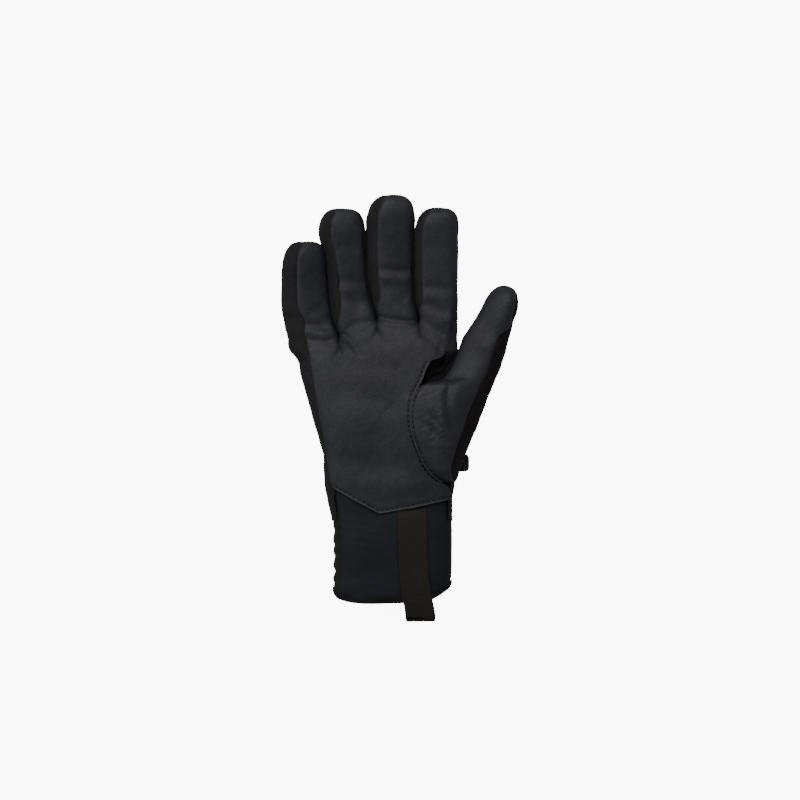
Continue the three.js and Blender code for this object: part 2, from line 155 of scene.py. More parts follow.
def ripple(x, y, wavelength, seed, layers=5):
    """Soft uneven noise between about -1 and 1: a sum of plane waves in seeded directions."""
    chance = np.random.default_rng(seed)
    total = np.zeros(np.broadcast(x, y).shape)
    for _ in range(layers):
        turn, phase = chance.uniform(0, 2 * math.pi, 2)
        k = 2 * math.pi / (wavelength * chance.uniform(0.7, 1.5))
        total += np.sin(k * (x * math.cos(turn) + y * math.sin(turn)) + phase)
    return total / math.sqrt(layers)


def fold(x, y, start, end, width, depth, bow=0.0):
    """The height of a soft groove from start to end: a bell-shaped dip with a low swell below it.

    Across the line it is minus depth times exp(-(d/width)^2), plus a third of that as a swell on
    the wrist side, and it fades to nothing at both ends. bow bends the line sideways.
    """
    along = np.array(end, float) - np.array(start, float)
    length = np.hypot(*along)
    along /= length
    dx, dy = x - start[0], y - start[1]
    t = (dx * along[0] + dy * along[1]) / length
    d = -dx * along[1] + dy * along[0] - bow * np.clip(4 * t * (1 - t), 0, None)
    fade = smooth((t + 0.12) / 0.3) * smooth((1.12 - t) / 0.3)
    sign = 1.0 if along[0] >= 0 else -1.0
    dip = np.exp(-((d / width) ** 2))
    swell = np.exp(-(((sign * d + 1.7 * width) / (1.2 * width)) ** 2))
    return depth * fade * (0.4 * swell - dip)


# ---- The outline of the hand -------------------------------------------------------------------

# Height along the hand, left edge, right edge without the thumb, underside, top.
HAND = [
    (-72, -33.2, 45.1, 5.4, 35.0),
    (-57, -36.6, 45.4, 5.4, 34.8),
    (-44, -38.4, 47.0, 5.4, 35.8),
    (-28, -39.2, 47.8, 5.4, 37.2),
    (-20, -41.2, 48.0, 5.0, 37.6),
    (-10, -44.3, 48.0, 1.2, 37.8),
    (3, -48.1, 48.0, -1.2, 37.2),
    (19, -52.7, 48.0, -1.4, 35.4),
    (34, -56.0, 48.6, -1.0, 32.8),
    (40, -59.4, 48.8, -0.6, 31.6),
    (46, -62.2, 48.8, 0.0, 30.2),
    (62, -64.9, 48.8, 1.0, 28.6),
]
HAND_POWER = 2.7

# The leather's left seam and its right edge, each as (height along the hand, across).
LEFT_SEAM = [
    (-67, -30.0), (-51, -32.6), (-43, -34.4), (-27.5, -36.6), (-8.5, -39.9), (12.8, -43.9),
    (32, -46.8), (53.3, -51.2), (62, -53.5),
]
RIGHT_EDGE = [
    (-67, 44.6), (-49.5, 44.4), (-47.8, 41.5), (-46.2, 37.6), (-39.5, 29.6), (-27.5, 23.2),
    (-14, 18.8), (-3, 17.7), (8, 19.3), (19.5, 25.0), (29, 28.9), (32.2, 31.6), (34.2, 37.2),
    (40.5, 39.6), (48, 42.5), (60, 42.8),
]
# The leather's lower edge over the cuff, at the five lines between the strips: across, along.
WRIST_LINE = [(-32.4, -50.5), (-18.0, -58.6), (-2.3, -67.0), (20.0, -63.2), (44.4, -57.8)]

# Each finger: its root between two crotches, the outline as (height, left edge, right edge), the
# tip, the length of the rounded tip, the roll of the section, and the seams' angles.
FINGERS = {
    "little": dict(
        root=[(-62.0, 46.0), (-28.7, 48.2)], tip=109.6, nose=14.5, roll=32, lift=6, thick=10.8,
        outline=[(45, -61.9, -28.6), (56, -64.6, -31.3), (71.5, -66.4, -34.4), (87, -66.4, -35.7),
                 (97.5, -65.4, -36.4), (110, -64.0, -35.2)],
        seams=(134, 42), hinge=31,
    ),
    "ring": dict(
        root=[(-28.7, 48.2), (-4.3, 60.5)], tip=131.0, nose=17.5, roll=21, lift=8, thick=11.0,
        outline=[(48, -28.6, -2.8), (60.5, -33.8, -4.3), (71.5, -35.3, -7.2), (85, -36.4, -9.7),
                 (97.5, -37.6, -10.9), (112, -41.7, -11.2), (131, -41.9, -11.2)],
        seams=(134, 44), hinge=37,
    ),
    "middle": dict(
        root=[(-4.3, 60.5), (23.0, 59.9)], tip=139.7, nose=18.5, roll=18, lift=9, thick=11.1,
        outline=[(59, -4.0, 23.2), (71.5, -7.6, 21.3), (85, -10.2, 20.7), (97.5, -11.2, 20.7),
                 (118, -11.3, 20.9), (140, -9.2, 21.6)],
        seams=(134, 42), hinge=38,
    ),
    "index": dict(
        root=[(23.0, 59.9), (48.8, 58.5)], tip=131.5, nose=15.0, roll=8, lift=8, thick=10.9,
        outline=[(58, 23.2, 48.8), (71.5, 20.7, 48.8), (85, 20.1, 48.8), (97, 20.1, 49.0),
                 (118, 20.7, 49.2), (132, 23.0, 50.4)],
        seams=(136, 22), hinge=36,
    ),
}
ORDER = ["little", "ring", "middle", "index"]
ROOTS = [FINGERS[name]["root"][0] for name in ORDER] + [FINGERS["index"]["root"][1]]
ROOT_HEIGHT = 15.0  # middle of a finger's root above the resting surface
BACK_SEAMS = (226, 314)
INDEX_SIDE_SEAM = 56.0  # angle of the leather's edge on the index finger's root
INDEX_BACK_SEAM = 332.0  # angle of the back's right seam on that root
INDEX_ROOT_Y = 58.5  # height of that root's right end
NUB_Y = 76.0  # where that edge reaches the outline

# Soft grooves of the leather: start, end, width, depth and sideways bow.
PALM_FOLDS = [
    ((-26.5, 50.0), (-15.0, 35.0), 2.2, 1.5, 1.0),
    ((-27.5, 46.5), (-24.0, 30.0), 1.8, 0.6, 0.5),
    ((-49.0, 47.0), (-33.0, 45.0), 2.6, 0.6, -1.4),
    ((-25.0, 52.5), (-7.0, 58.4), 2.2, 0.7, 0.6),
    ((-3.0, 60.0), (21.5, 57.4), 1.8, 1.1, -0.6),
    ((24.0, 57.0), (40.0, 47.0), 2.8, 0.9, 0.8),
    ((26.0, 49.0), (38.0, 39.0), 2.6, 0.6, 1.2),
    ((-36.0, 10.0), (12.0, 4.0), 9.0, 0.9, 2.0),
    ((-30.0, -32.0), (18.0, -36.0), 8.0, 0.8, -2.0),
    ((6.0, 30.0), (16.0, 8.0), 6.0, 0.7, 1.5),
]
FINGER_FOLDS = [
    ((-57.0, 55.5), (-34.5, 52.5), 2.8, 0.9, 1.2),
    ((-50.0, 62.0), (-38.0, 68.0), 3.2, 0.5, 0.0),
    ((-31.5, 84.0), (-12.0, 81.5), 3.6, 0.9, 0.8),
    ((-30.0, 75.0), (-14.0, 66.0), 3.4, 0.6, 0.8),
    ((-3.5, 92.0), (19.0, 91.0), 3.0, 1.3, -1.4),
    ((0.0, 82.0), (16.0, 71.0), 4.2, 0.7, 1.4),
    ((26.0, 80.0), (45.0, 77.5), 3.8, 0.9, 0.8),
    ((26.0, 69.0), (42.0, 62.0), 3.2, 0.8, 0.6),
    ((-29.0, 108.0), (-16.0, 104.0), 4.5, 0.4, 0.0),
    ((26.0, 108.0), (42.0, 103.0), 5.0, 0.4, 0.4),
]


def leather_edges(y):
    """Where the leather starts on the left and ends on the right, at each height y."""
    return curve(LEFT_SEAM, y), curve(RIGHT_EDGE, y)


def hand_edges(y):
    """The hand's left edge, right edge, underside and top at each height y."""
    return np.moveaxis(curve(HAND, y), -1, 0)


def hand_height(x, y, side=1.0):
    """The height of the palm, or with side -1 the back, over the plan position x, y.

    The section is a superellipse between the two edges. The palm carries four soft swellings, and
    the underside is flat where the glove lies on it.
    """
    left, right, low, high = hand_edges(y)
    across = np.clip((2 * x - left - right) / (right - left), -1, 1)
    z = (low + high) / 2 + side * (high - low) / 2 * (1 - np.abs(across) ** HAND_POWER) ** (1 / HAND_POWER)
    if side < 0:
        return np.maximum(z, 0.15)
    for cx, cy, wide, long, rise in (
        (-27, -14, 15, 26, 1.6), (0, -8, 15, 24, -1.8), (-8, 40, 30, 9, 1.0), (8, -50, 20, 9, 1.2),
    ):
        bell = np.exp(-(((x - cx) / wide) ** 2) - ((y - cy) / long) ** 2)
        z = z + rise * bell * (1 - np.abs(across) ** 4)
    return z


def hand_point(angle, y):
    """Across and up on the hand's section at an angle in degrees, palm side 0 to 180."""
    left, right, _, _ = hand_edges(y)
    across, up = superellipse(angle, HAND_POWER)
    x = (left + right) / 2 + across * (right - left) / 2
    return x, np.where(up >= 0, hand_height(x, y), hand_height(x, y, BACK))


def hand_angle(x, y):
    """The angle on the hand's palm-side section at which it lies at x."""
    left, right, _, _ = hand_edges(y)
    across = np.clip((2 * x - left - right) / (right - left), -1, 1)
    return np.degrees(np.arccos(np.sign(across) * np.abs(across) ** (HAND_POWER / 2)))


def finger_point(name, angle, t):
    """Positions on a finger at an angle in degrees and a share t of the way from root to tip.

    The section is the rolled rounded box, fitted between the finger's two outlines. Over the nose
    of the finger it narrows as (1 - near^2.2)^(1/3.4), and the roll grows from none at the root.
    """
    f = FINGERS[name]
    angle, t = np.broadcast_arrays(np.asarray(angle, float), np.asarray(t, float))
    across, up = rounded_box(angle, 2.9, f["roll"] * smooth(t / 0.22))
    share = (across + 1) / 2
    (_, left_y), (_, right_y) = f["root"]
    y = mix(mix(left_y, f["tip"], t), mix(right_y, f["tip"], t), share)
    left, right = np.moveaxis(curve(f["outline"], y), -1, 0)
    near = np.clip((y - (f["tip"] - f["nose"])) / f["nose"], 0, 1)
    narrow = (1 - near**2.2) ** (1 / 3.4)
    flat = (1 - near**2.6) ** (1 / 2.2)
    fade = 1 - smooth(t / 0.12)
    left = left + fade * (f["root"][0][0] - curve(f["outline"], left_y)[0])
    right = right + fade * (f["root"][1][0] - curve(f["outline"], right_y)[1])
    x = (left + right) / 2 + across * (right - left) / 2 * narrow
    z = ROOT_HEIGHT + f["lift"] * t**2 + up * f["thick"] * flat
    pad = smooth(up) * smooth(1 - np.abs(t - 0.78) / 0.3)
    return np.stack([x, y, z + 0.8 * pad * narrow], axis=-1)


def finger_seams(name, t):
    """The angles of a finger's four seams at t: the leather's left and right, the back's left and right."""
    f = FINGERS[name]
    left, right = f["seams"]
    open_up = smooth(t / 0.16)
    front_left = mix(180.0, left, open_up)
    front_right = mix(0.0, right, open_up)
    back_left = mix(180.0, BACK_SEAMS[0], open_up)
    back_right = mix(360.0, BACK_SEAMS[1], open_up)
    if name == "little":
        start = hand_seam_angle()
        front_left = mix(start, left, smooth(t / 0.35))
    if name == "index":
        nub = (NUB_Y - INDEX_ROOT_Y) / (f["tip"] - INDEX_ROOT_Y)
        front_right = mix(INDEX_SIDE_SEAM, right, smooth(t / nub))
        back_right = mix(INDEX_BACK_SEAM, 322.0, open_up)
    return front_left, front_right, back_left, back_right


def hand_seam_angle():
    """The angle of the leather's left seam on the little finger's root section."""
    (left, left_y), (right, _) = FINGERS["little"]["root"]
    across = (2 * curve(LEFT_SEAM, left_y + 2.0) - left - right) / (right - left)
    return float(np.degrees(np.arccos(np.sign(across) * np.abs(across) ** 1.45)))


# ---- Skins: welded grids with shared normals ---------------------------------------------------


class Skin:
    """Grids of points welded into one surface, so that pieces cut from it share their shading."""

    def __init__(self):
        """Starts with no points."""
        self.points, self.quads, self.labels, self.count = [], [], [], 0

    def grid(self, points, label, flip=False):
        """Adds a grid of points (rows, columns, 3) whose faces carry one label each row band."""
        rows, columns = points.shape[:2]
        index = np.arange(rows * columns).reshape(rows, columns) + self.count
        quads = np.stack([index[:-1, :-1], index[:-1, 1:], index[1:, 1:], index[1:, :-1]], -1)
        if flip:
            quads = quads[..., ::-1]
        labels = np.broadcast_to(np.asarray(label), (rows - 1,))
        self.points.append(points.reshape(-1, 3))
        self.quads.append(quads.reshape(-1, 4))
        self.labels.append(np.repeat(labels, columns - 1))
        self.count += rows * columns

    def weld(self):
        """Merges points that coincide, drops faces that have closed up, and works out normals."""
        points = np.concatenate(self.points)
        quads, labels = np.concatenate(self.quads), np.concatenate(self.labels)
        _, first, back = np.unique(np.round(points, 3), axis=0, return_index=True, return_inverse=True)
        self.place = points[first]
        quads = back.reshape(-1)[quads]
        sides = (quads != np.roll(quads, 1, axis=1)).sum(axis=1)
        crossed = (quads[:, 0] == quads[:, 2]) | (quads[:, 1] == quads[:, 3])
        good = (sides >= 3) & ~crossed
        self.faces, self.face_labels = quads[good], labels[good]
        a, b, c, d = (self.place[self.faces[:, k]] for k in range(4))
        normal = np.cross(c - a, d - b)
        self.normals = np.zeros_like(self.place)
        for k in range(4):
            np.add.at(self.normals, self.faces[:, k], normal)
        length = np.linalg.norm(self.normals, axis=1, keepdims=True)
        self.normals /= np.maximum(length, 1e-9)
        return self

    def push(self, amount):
        """Moves every point along its normal by amount(x, y, z) and works out the normals again."""
        moved = self.place + self.normals * amount(*self.place.T)[:, None]
        self.points, self.quads, self.labels = [moved], [self.faces], [self.face_labels]
        return self.weld()

    def piece(self, name, label, material, slot):
        """A mesh object of the faces with this label, with the whole skin's normals."""
        faces = self.faces[self.face_labels == label]
        used, index = np.unique(faces, return_inverse=True)
        faces = index.reshape(-1, 4)
        return make_mesh(name, self.place[used], faces, material, self.normals[used])

    def at(self, xy, lift):
        """Positions and normals of the palm side over plan positions xy, lifted along the normal."""
        keep = self.normals[:, 2] > 0.05
        place, normals = self.place[keep], self.normals[keep]
        out = []
        for chunk in np.array_split(np.asarray(xy, float), max(1, len(xy) // 100)):
            gap = ((chunk[:, None, :] - place[None, :, :2]) ** 2).sum(-1)
            near = np.argpartition(gap, 4, axis=1)[:, :4]
            weight = 1 / (np.take_along_axis(gap, near, 1) + 1e-4)
            weight /= weight.sum(1, keepdims=True)
            both = [(values[near] * weight[..., None]).sum(1) for values in (place, normals)]
            out.append(np.concatenate(both, axis=1))
        out = np.concatenate(out)
        normal = unit(out[:, 3:])
        place = np.column_stack([xy, out[:, 2]])
        return place + normal * lift, normal


def make_mesh(name, points, quads, material, normals=None):
    """A mesh object in metres from points in millimetres and four-sided faces, some of them closed up."""
    mesh = bpy.data.meshes.new(name)
    closed = quads != np.roll(quads, 1, axis=1)
    sides = closed.sum(axis=1)
    loops = quads[closed]
    mesh.vertices.add(len(points))
    mesh.vertices.foreach_set("co", (points * MM).astype(np.float32).ravel())
    mesh.loops.add(len(loops))
    mesh.loops.foreach_set("vertex_index", loops.astype(np.int32))
    mesh.polygons.add(len(quads))
    starts = np.concatenate([[0], np.cumsum(sides)[:-1]])
    mesh.polygons.foreach_set("loop_start", starts.astype(np.int32))
    mesh.polygons.foreach_set("use_smooth", np.ones(len(quads), bool))
    mesh.update(calc_edges=True)
    mesh.validate()
    if normals is not None:
        mesh.normals_split_custom_set_from_vertices(normals.astype(np.float32))
    mesh.materials.append(material)
    piece = bpy.data.objects.new(name, mesh)
    bpy.context.scene.collection.objects.link(piece)
    return piece


def make_grid(name, points, material, slot, ring=False, closed=False):
    """A mesh object from one grid of points, joined round its columns when ring is true.

    A closed one also gets both ends drawn together to a point, and is turned to face outwards by
    the sign of its volume.
    """
    flip = False
    if ring:
        points = np.concatenate([points, points[:, :1]], axis=1)
    if closed:
        ends = [np.broadcast_to(row[:-1].mean(0), row.shape)[None] for row in (points[0], points[-1])]
        points = np.concatenate([ends[0], points, ends[1]])
        a, b, c = points[:-1, :-1], points[1:, :-1], points[:-1, 1:]
        middle = points.reshape(-1, 3).mean(0)
        flip = float((np.cross(c - a, b - a) * (a - middle)).sum()) < 0
    skin = Skin()
    skin.grid(points, 0, flip)
    return skin.weld().piece(name, 0, material, slot)


def band(spine, across, up, profile):
    """A closed profile carried along a path: point = path + profile x times across + profile y times up."""
    return (spine[:, None, :] + profile[None, :, 0, None] * across[:, None, :]
            + profile[None, :, 1, None] * up[:, None, :])


def flat_profile(width, thick):
    """A flat band's section with rounded edges, as points round it."""
    corner = 0.45
    turn = np.linspace(-90, 90, 6)
    x = np.cos(np.radians(turn)) * corner * thick
    y = np.sin(np.radians(turn)) * thick / 2
    right = np.column_stack([width / 2 - corner * thick + x, y])
    left = -right
    return np.concatenate([right, left])


def respaced(path, step):
    """Points every step millimetres along a path, starting half a step in."""
    length = np.concatenate([[0], np.cumsum(np.linalg.norm(np.diff(path, axis=0), axis=1))])
    at = np.arange(step / 2, length[-1] - step / 4, step)
    return np.column_stack([np.interp(at, length, path[:, k]) for k in range(path.shape[1])])


def stitches(name, place, normal, length):
    """A row of thread stitches: a spindle at each place, laid along the row and half sunk.

    Each spindle is 0.36 (1 - s^4)^(1/2) mm thick at a share s of its half length, with six sides.
    """
    tangent = tangents(place)
    across = unit(np.cross(normal, tangent))
    s = np.array([-1, -0.8, -0.3, 0.3, 0.8, 1.0])
    thick = 0.36 * np.sqrt(np.clip(1 - s**4, 0.0, 1))
    turn = np.radians(np.arange(0, 360, 60))
    sink = -0.35 * s**2
    ring = np.stack([
        np.repeat(s[:, None] * length / 2, 6, 1),
        thick[:, None] * np.cos(turn)[None, :],
        thick[:, None] * np.sin(turn)[None, :] + sink[:, None],
    ], -1)
    points = place[:, None, None, :]
    for k, way in enumerate((tangent, across, normal)):
        points = points + ring[None, ..., k : k + 1] * way[:, None, None, :]
    number = len(place)
    index = np.arange(number * 36).reshape(number, 6, 6)
    after = np.roll(index, -1, axis=2)
    quads = np.stack([index[:, :-1], after[:, :-1], after[:, 1:], index[:, 1:]], -1).reshape(-1, 4)
    return make_mesh(name, points.reshape(-1, 3), quads, MATERIALS["thread"])


# ---- Materials ---------------------------------------------------------------------------------

NOISE, WAVE, BUMP = "ShaderNodeTexNoise", "ShaderNodeTexWave", "ShaderNodeBump"
MATH, MIX, RANGE, RAMP = "ShaderNodeMath", "ShaderNodeMix", "ShaderNodeMapRange", "ShaderNodeValToRGB"


def linear(hex_colour):
    """A six-digit sRGB colour as linear red, green, blue and alpha."""
    value = [int(hex_colour[k : k + 2], 16) / 255 for k in (0, 2, 4)]
    return [c / 12.92 if c <= 0.04045 else ((c + 0.055) / 1.055) ** 2.4 for c in value] + [1.0]


def paint(colour):
    """A colour for a node: a hex colour made linear, or a colour property's own linear value."""
    return linear(colour) if isinstance(colour, str) else [*colour, 1.0]


def node(tree, kind, inputs=None, colours=(), **settings):
    """Adds a shader node, sets its properties and colour stops, and sets or links its inputs."""
    made = tree.nodes.new(kind)
    for key, value in settings.items():
        setattr(made, key, value)
    for key, value in (inputs or {}).items():
        if isinstance(value, bpy.types.NodeSocket):
            tree.links.new(value, made.inputs[key])
        else:
            made.inputs[key].default_value = value
    for stop, (position, colour) in enumerate(colours):
        made.color_ramp.elements[stop].position = position
        made.color_ramp.elements[stop].color = paint(colour)
    return made


def new_material(name, roughness, specular=0.5, sheen=0.0, sheen_tint=None):
    """A material with a Principled surface, and its tree, shader and object coordinates."""
    material = bpy.data.materials.new(name)
    material.use_nodes = True
    tree = material.node_tree
    tree.nodes.clear()
    shader = node(tree, "ShaderNodeBsdfPrincipled", {
        "Roughness": roughness, "Specular IOR Level": specular, "Sheen Weight": sheen,
        "Sheen Roughness": 0.5,
    })
    if sheen_tint:
        shader.inputs["Sheen Tint"].default_value = linear(sheen_tint)
    node(tree, "ShaderNodeOutputMaterial", {"Surface": shader.outputs[0]})
    place = node(tree, "ShaderNodeTexCoord").outputs["Object"]
    return material, tree, shader, place


def leather_material(colour, worn, roughness):
    """Charcoal goatskin, drum dyed and plated: fine pebbled grain, small creases, a dull shine.

    The grain's cells are about 1.3 mm apart, a little coarser than real so that they show.
    """
    material, tree, shader, place = new_material("charcoal_goatskin", roughness, 0.26)
    cloud = node(tree, NOISE, {"Vector": place, "Scale": 38.0, "Detail": 4.0, "Roughness": 0.6})
    cloud = cloud.outputs["Fac"]
    wear = node(tree, NOISE, {"Vector": place, "Scale": 260.0, "Detail": 5.0, "Roughness": 0.65})
    wear = wear.outputs["Fac"]
    both = node(tree, MATH, {0: cloud, 1: wear}, operation="ADD")
    half = node(tree, MATH, {0: both.outputs[0], 1: 0.5}, operation="MULTIPLY")
    tone = node(tree, RAMP, {"Fac": half.outputs[0]}, ((0.36, colour), (0.66, worn)))
    tree.links.new(tone.outputs["Color"], shader.inputs["Base Color"])
    rough = node(tree, RANGE, {
        "Value": cloud, "From Min": 0.3, "From Max": 0.7,
        "To Min": roughness - 0.06, "To Max": roughness + 0.07,
    })
    tree.links.new(rough.outputs[0], shader.inputs["Roughness"])
    warp = node(tree, NOISE, {"Vector": place, "Scale": 160.0, "Detail": 2.0})
    bent = node(tree, MIX, {0: 0.004, 4: place, 5: warp.outputs["Color"]}, data_type="VECTOR")
    cells = node(tree, "ShaderNodeTexVoronoi", {"Vector": bent.outputs[1], "Scale": 760.0},
                 feature="DISTANCE_TO_EDGE")
    pebble = node(tree, RANGE, {"Value": cells.outputs["Distance"], "From Max": 0.18})
    grain = node(tree, BUMP, {"Strength": 0.22, "Distance": 0.00025, "Height": pebble.outputs[0]})
    crease = node(tree, NOISE, {
        "Vector": place, "Scale": 130.0, "Detail": 6.0, "Roughness": 0.6, "Distortion": 0.6,
    })
    soft = node(tree, BUMP, {
        "Strength": 0.35, "Distance": 0.0009, "Height": crease.outputs["Fac"], "Normal": grain.outputs[0],
    })
    tree.links.new(soft.outputs[0], shader.inputs["Normal"])
    return material


def woven_material(name, low, high, roughness, pitch_mm, strength, sheen=0.05, turn=0.0):
    """A plain weave in black yarn: two crossed sets of threads, matt, with a faint bloom.

    pitch_mm is the distance between threads, drawn coarser than real where it wouldn't show.
    """
    material, tree, shader, place = new_material(name, roughness, 0.15, sheen, "9a9aa2")
    turned = node(tree, "ShaderNodeMapping", {"Vector": place, "Rotation": (0, 0, math.radians(turn))})
    threads = {
        "Vector": turned.outputs[0], "Scale": 1 / (pitch_mm * MM) / 20 * 3.1416 * 2, "Distortion": 0.0,
    }
    waves = [node(tree, WAVE, threads, bands_direction=axis).outputs["Fac"] for axis in "XYZ"]
    weave = node(tree, MATH, {0: waves[0], 1: waves[1]}, operation="MAXIMUM")
    weave = node(tree, MATH, {0: weave.outputs[0], 1: waves[2]}, operation="MULTIPLY")
    cloud = node(tree, NOISE, {"Vector": place, "Scale": 70.0, "Detail": 5.0, "Roughness": 0.65})
    cloud = cloud.outputs["Fac"]
    tone = node(tree, RAMP, {"Fac": cloud}, ((0.3, low), (0.7, high)))
    tree.links.new(tone.outputs["Color"], shader.inputs["Base Color"])
    fine = node(tree, BUMP, {"Strength": strength, "Distance": 0.0003, "Height": weave.outputs[0]})
    lumps = node(tree, BUMP, {
        "Strength": 0.3, "Distance": 0.0012, "Height": cloud, "Normal": fine.outputs[0],
    })
    tree.links.new(lumps.outputs[0], shader.inputs["Normal"])
    return material


def brushed_material(name, low, high, roughness, sheen, fibre_mm, strength):
    """A brushed or knitted nap: short fibres that scatter light, so edges look softer and paler."""
    material, tree, shader, place = new_material(name, roughness, 0.12, sheen, "8c8a90")
    nap = node(tree, NOISE, {"Vector": place, "Scale": 1 / (fibre_mm * MM), "Detail": 4.0, "Roughness": 0.7})
    nap = nap.outputs["Fac"]
    cloud = node(tree, NOISE, {"Vector": place, "Scale": 55.0, "Detail": 4.0}).outputs["Fac"]
    both = node(tree, MIX, {0: 0.5, 2: nap, 3: cloud}, data_type="FLOAT")
    tone = node(tree, RAMP, {"Fac": both.outputs[0]}, ((0.35, low), (0.68, high)))
    tree.links.new(tone.outputs["Color"], shader.inputs["Base Color"])
    fuzz = node(tree, BUMP, {"Strength": strength, "Distance": 0.0004, "Height": nap})
    tree.links.new(fuzz.outputs[0], shader.inputs["Normal"])
    return material


def webbing_material(low, high):
    """Polyester webbing: ribs across the strap every 1.4 mm, crossed by a herringbone of yarns."""
    material, tree, shader, place = new_material("polyester_webbing", 0.75, 0.25, 0.05, "8a857e")
    ribs = node(tree, WAVE, {"Vector": place, "Scale": 225.0, "Distortion": 0.4, "Detail": 1.0},
                bands_direction="Y")
    yarns = node(tree, WAVE, {"Vector": place, "Scale": 330.0, "Distortion": 0.0},
                 bands_direction="X")
    both = node(tree, MATH, {0: ribs.outputs["Fac"], 1: yarns.outputs["Fac"]}, operation="MULTIPLY")
    cloud = node(tree, NOISE, {"Vector": place, "Scale": 90.0, "Detail": 4.0}).outputs["Fac"]
    mixed = node(tree, MIX, {0: 0.6, 2: both.outputs[0], 3: cloud}, data_type="FLOAT")
    tone = node(tree, RAMP, {"Fac": mixed.outputs[0]}, ((0.15, low), (0.75, high)))
    tree.links.new(tone.outputs["Color"], shader.inputs["Base Color"])
    bump = node(tree, BUMP, {"Strength": 0.5, "Distance": 0.0003, "Height": both.outputs[0]})
    tree.links.new(bump.outputs[0], shader.inputs["Normal"])
    return material


def plain_material(name, low, high, roughness, specular=0.5, grain=900.0, strength=0.1):
    """A moulded or spun finish: one colour with a slight mottle and a fine even texture."""
    material, tree, shader, place = new_material(name, roughness, specular)
    mottle = node(tree, NOISE, {"Vector": place, "Scale": grain, "Detail": 3.0}).outputs["Fac"]
    tone = node(tree, RAMP, {"Fac": mottle}, ((0.3, low), (0.7, high)))
    tree.links.new(tone.outputs["Color"], shader.inputs["Base Color"])
    bump = node(tree, BUMP, {"Strength": strength, "Distance": 0.0002, "Height": mottle})
    tree.links.new(bump.outputs[0], shader.inputs["Normal"])
    return material


MATERIALS = {}


def make_materials(settings):
    """Makes every finish of the glove once."""
    if MATERIALS:
        return
    MATERIALS.update(
        # Plated goatskin: charcoal with a faint blue cast and a soft, broad shine.
        leather=leather_material(
            settings.leather_colour, settings.leather_worn, settings.leather_roughness),
        # The same skin where a turned edge is rubbed: a little paler and smoother.
        edge=plain_material("rubbed_leather_edge", "1f1f24", "2b2b31", 0.5, 0.4, 900.0, 0.15),
        # Woven polyester softshell: neutral black, quite matt, with a fine square weave.
        shell=woven_material("black_softshell_weave", "131314", "1b1b1d", 0.8, 1.3, 0.25),
        # Four-way stretch cloth: a lighter grey-black weave laid on the slant.
        gusset=woven_material("stretch_gusset_weave", "1c1c1e", "262628", 0.7, 1.1, 0.3, turn=35),
        # Microsuede: brown-black, with a short nap that takes nearly all the light.
        suede=brushed_material("brown_black_microsuede", "0f0a0b", "181112", 0.9, 0.04, 0.5, 0.4),
        # Jersey-faced neoprene: smooth navy-black with a dull even sheen.
        neoprene=brushed_material(
            "navy_black_neoprene", settings.neoprene_colour, "191921", 0.62, 0.08, 0.35, 0.15),
        # Brushed fleece lining: charcoal and fluffy, pale where it turns away.
        fleece=brushed_material("charcoal_fleece", "1f1f22", "303036", 0.95, 0.4, 0.8, 0.8),
        # Thin black stretch fabric, folded deep into the fork of the thumb; its colour is darkened further as
        # painted shade for the fold.
        web=woven_material("web_stretch_fabric_painted_shade", "070708", "0e0e10", 0.85, 0.9, 0.25, 0.0),
        # Knitted binding tape: soft matt black with small ribs.
        binding=woven_material("knitted_binding_tape", "09090b", "121215", 0.85, 1.0, 0.3, 0.02),
        # Ribbed polyester webbing: warm black, with ribs that catch the light one by one.
        webbing=webbing_material("0c0907", "19140f"),
        # Bonded nylon thread: black and slightly glossy, sunk into the leather.
        thread=plain_material("bonded_nylon_thread", "040405", "08080a", 0.6, 0.2, 2500.0, 0.2),
        # Moulded rubber: smooth dark grey with a satin shine.
        tab=plain_material("moulded_thermoplastic_rubber", "1c1c1c", "252525", 0.5, 0.45),
        # Hook-and-loop tape: a rough black pile.
        tape=brushed_material("hook_and_loop_tape", "090909", "141414", 0.9, 0.2, 0.45, 1.0),
        # Satin ribbon of the blank size label: light grey with a silky shine.
        label=plain_material("satin_label_ribbon", "8f8f8c", "a3a39f", 0.55, 0.4, 1500.0),
        # Matt white paper under the glove.
        floor=plain_material("matt_white_paper", "f4f4f4", "f8f8f8", 0.9, 0.2, 40.0, 0.0),
    )
    # The paper lies on a light table, so that it stays white round the dark glove.
    glow = next(n for n in MATERIALS["floor"].node_tree.nodes if n.type == "BSDF_PRINCIPLED")
    glow.inputs["Emission Color"].default_value = linear("ffffff")
    glow.inputs["Emission Strength"].default_value = FLOOR_GLOW


# ---- The shell ---------------------------------------------------------------------------------

FINGER_ROWS = 92
# The walls of each finger, in the order in which they are made. The little finger's back goes right
# round to its leather and stands for its outer wall.
WALLS = {
    "little": ("inner",), "ring": ("inner", "outer"), "middle": ("inner", "outer"),
    "index": ("outer", "inner"),
}
# The two pieces along a finger: their names in the skin and in the frame, and the name of the joint at the
# lower end of each.
FINGER_HALVES = (("lower", "base", "knuckle"), ("upper", "tip", "middle"))


def bend(piece, joint):
    """Bakes a piece's placement into its mesh; it does not bend the piece.

    The joint is looked up and the direction along up cross its axis is worked out, but neither is used
    further.
    """
    made = next(j for j in frame["joints"] if j["name"] == joint)
    along = np.cross([0, 0, 1], np.array(made["axis"], float))
    along /= np.linalg.norm(along)
    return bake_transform(piece)


def finger_rows():
    """The shares of the way along a finger at which its grid has rows, closer at the tip."""
    return 1 - (1 - shares(FINGER_ROWS)) ** 1.5


def half_labels(name):
    """0 for the faces of a finger's lower piece and 1 for those of its upper piece, row by row."""
    return (finger_rows()[:-1] >= cut_row(name)).astype(int)


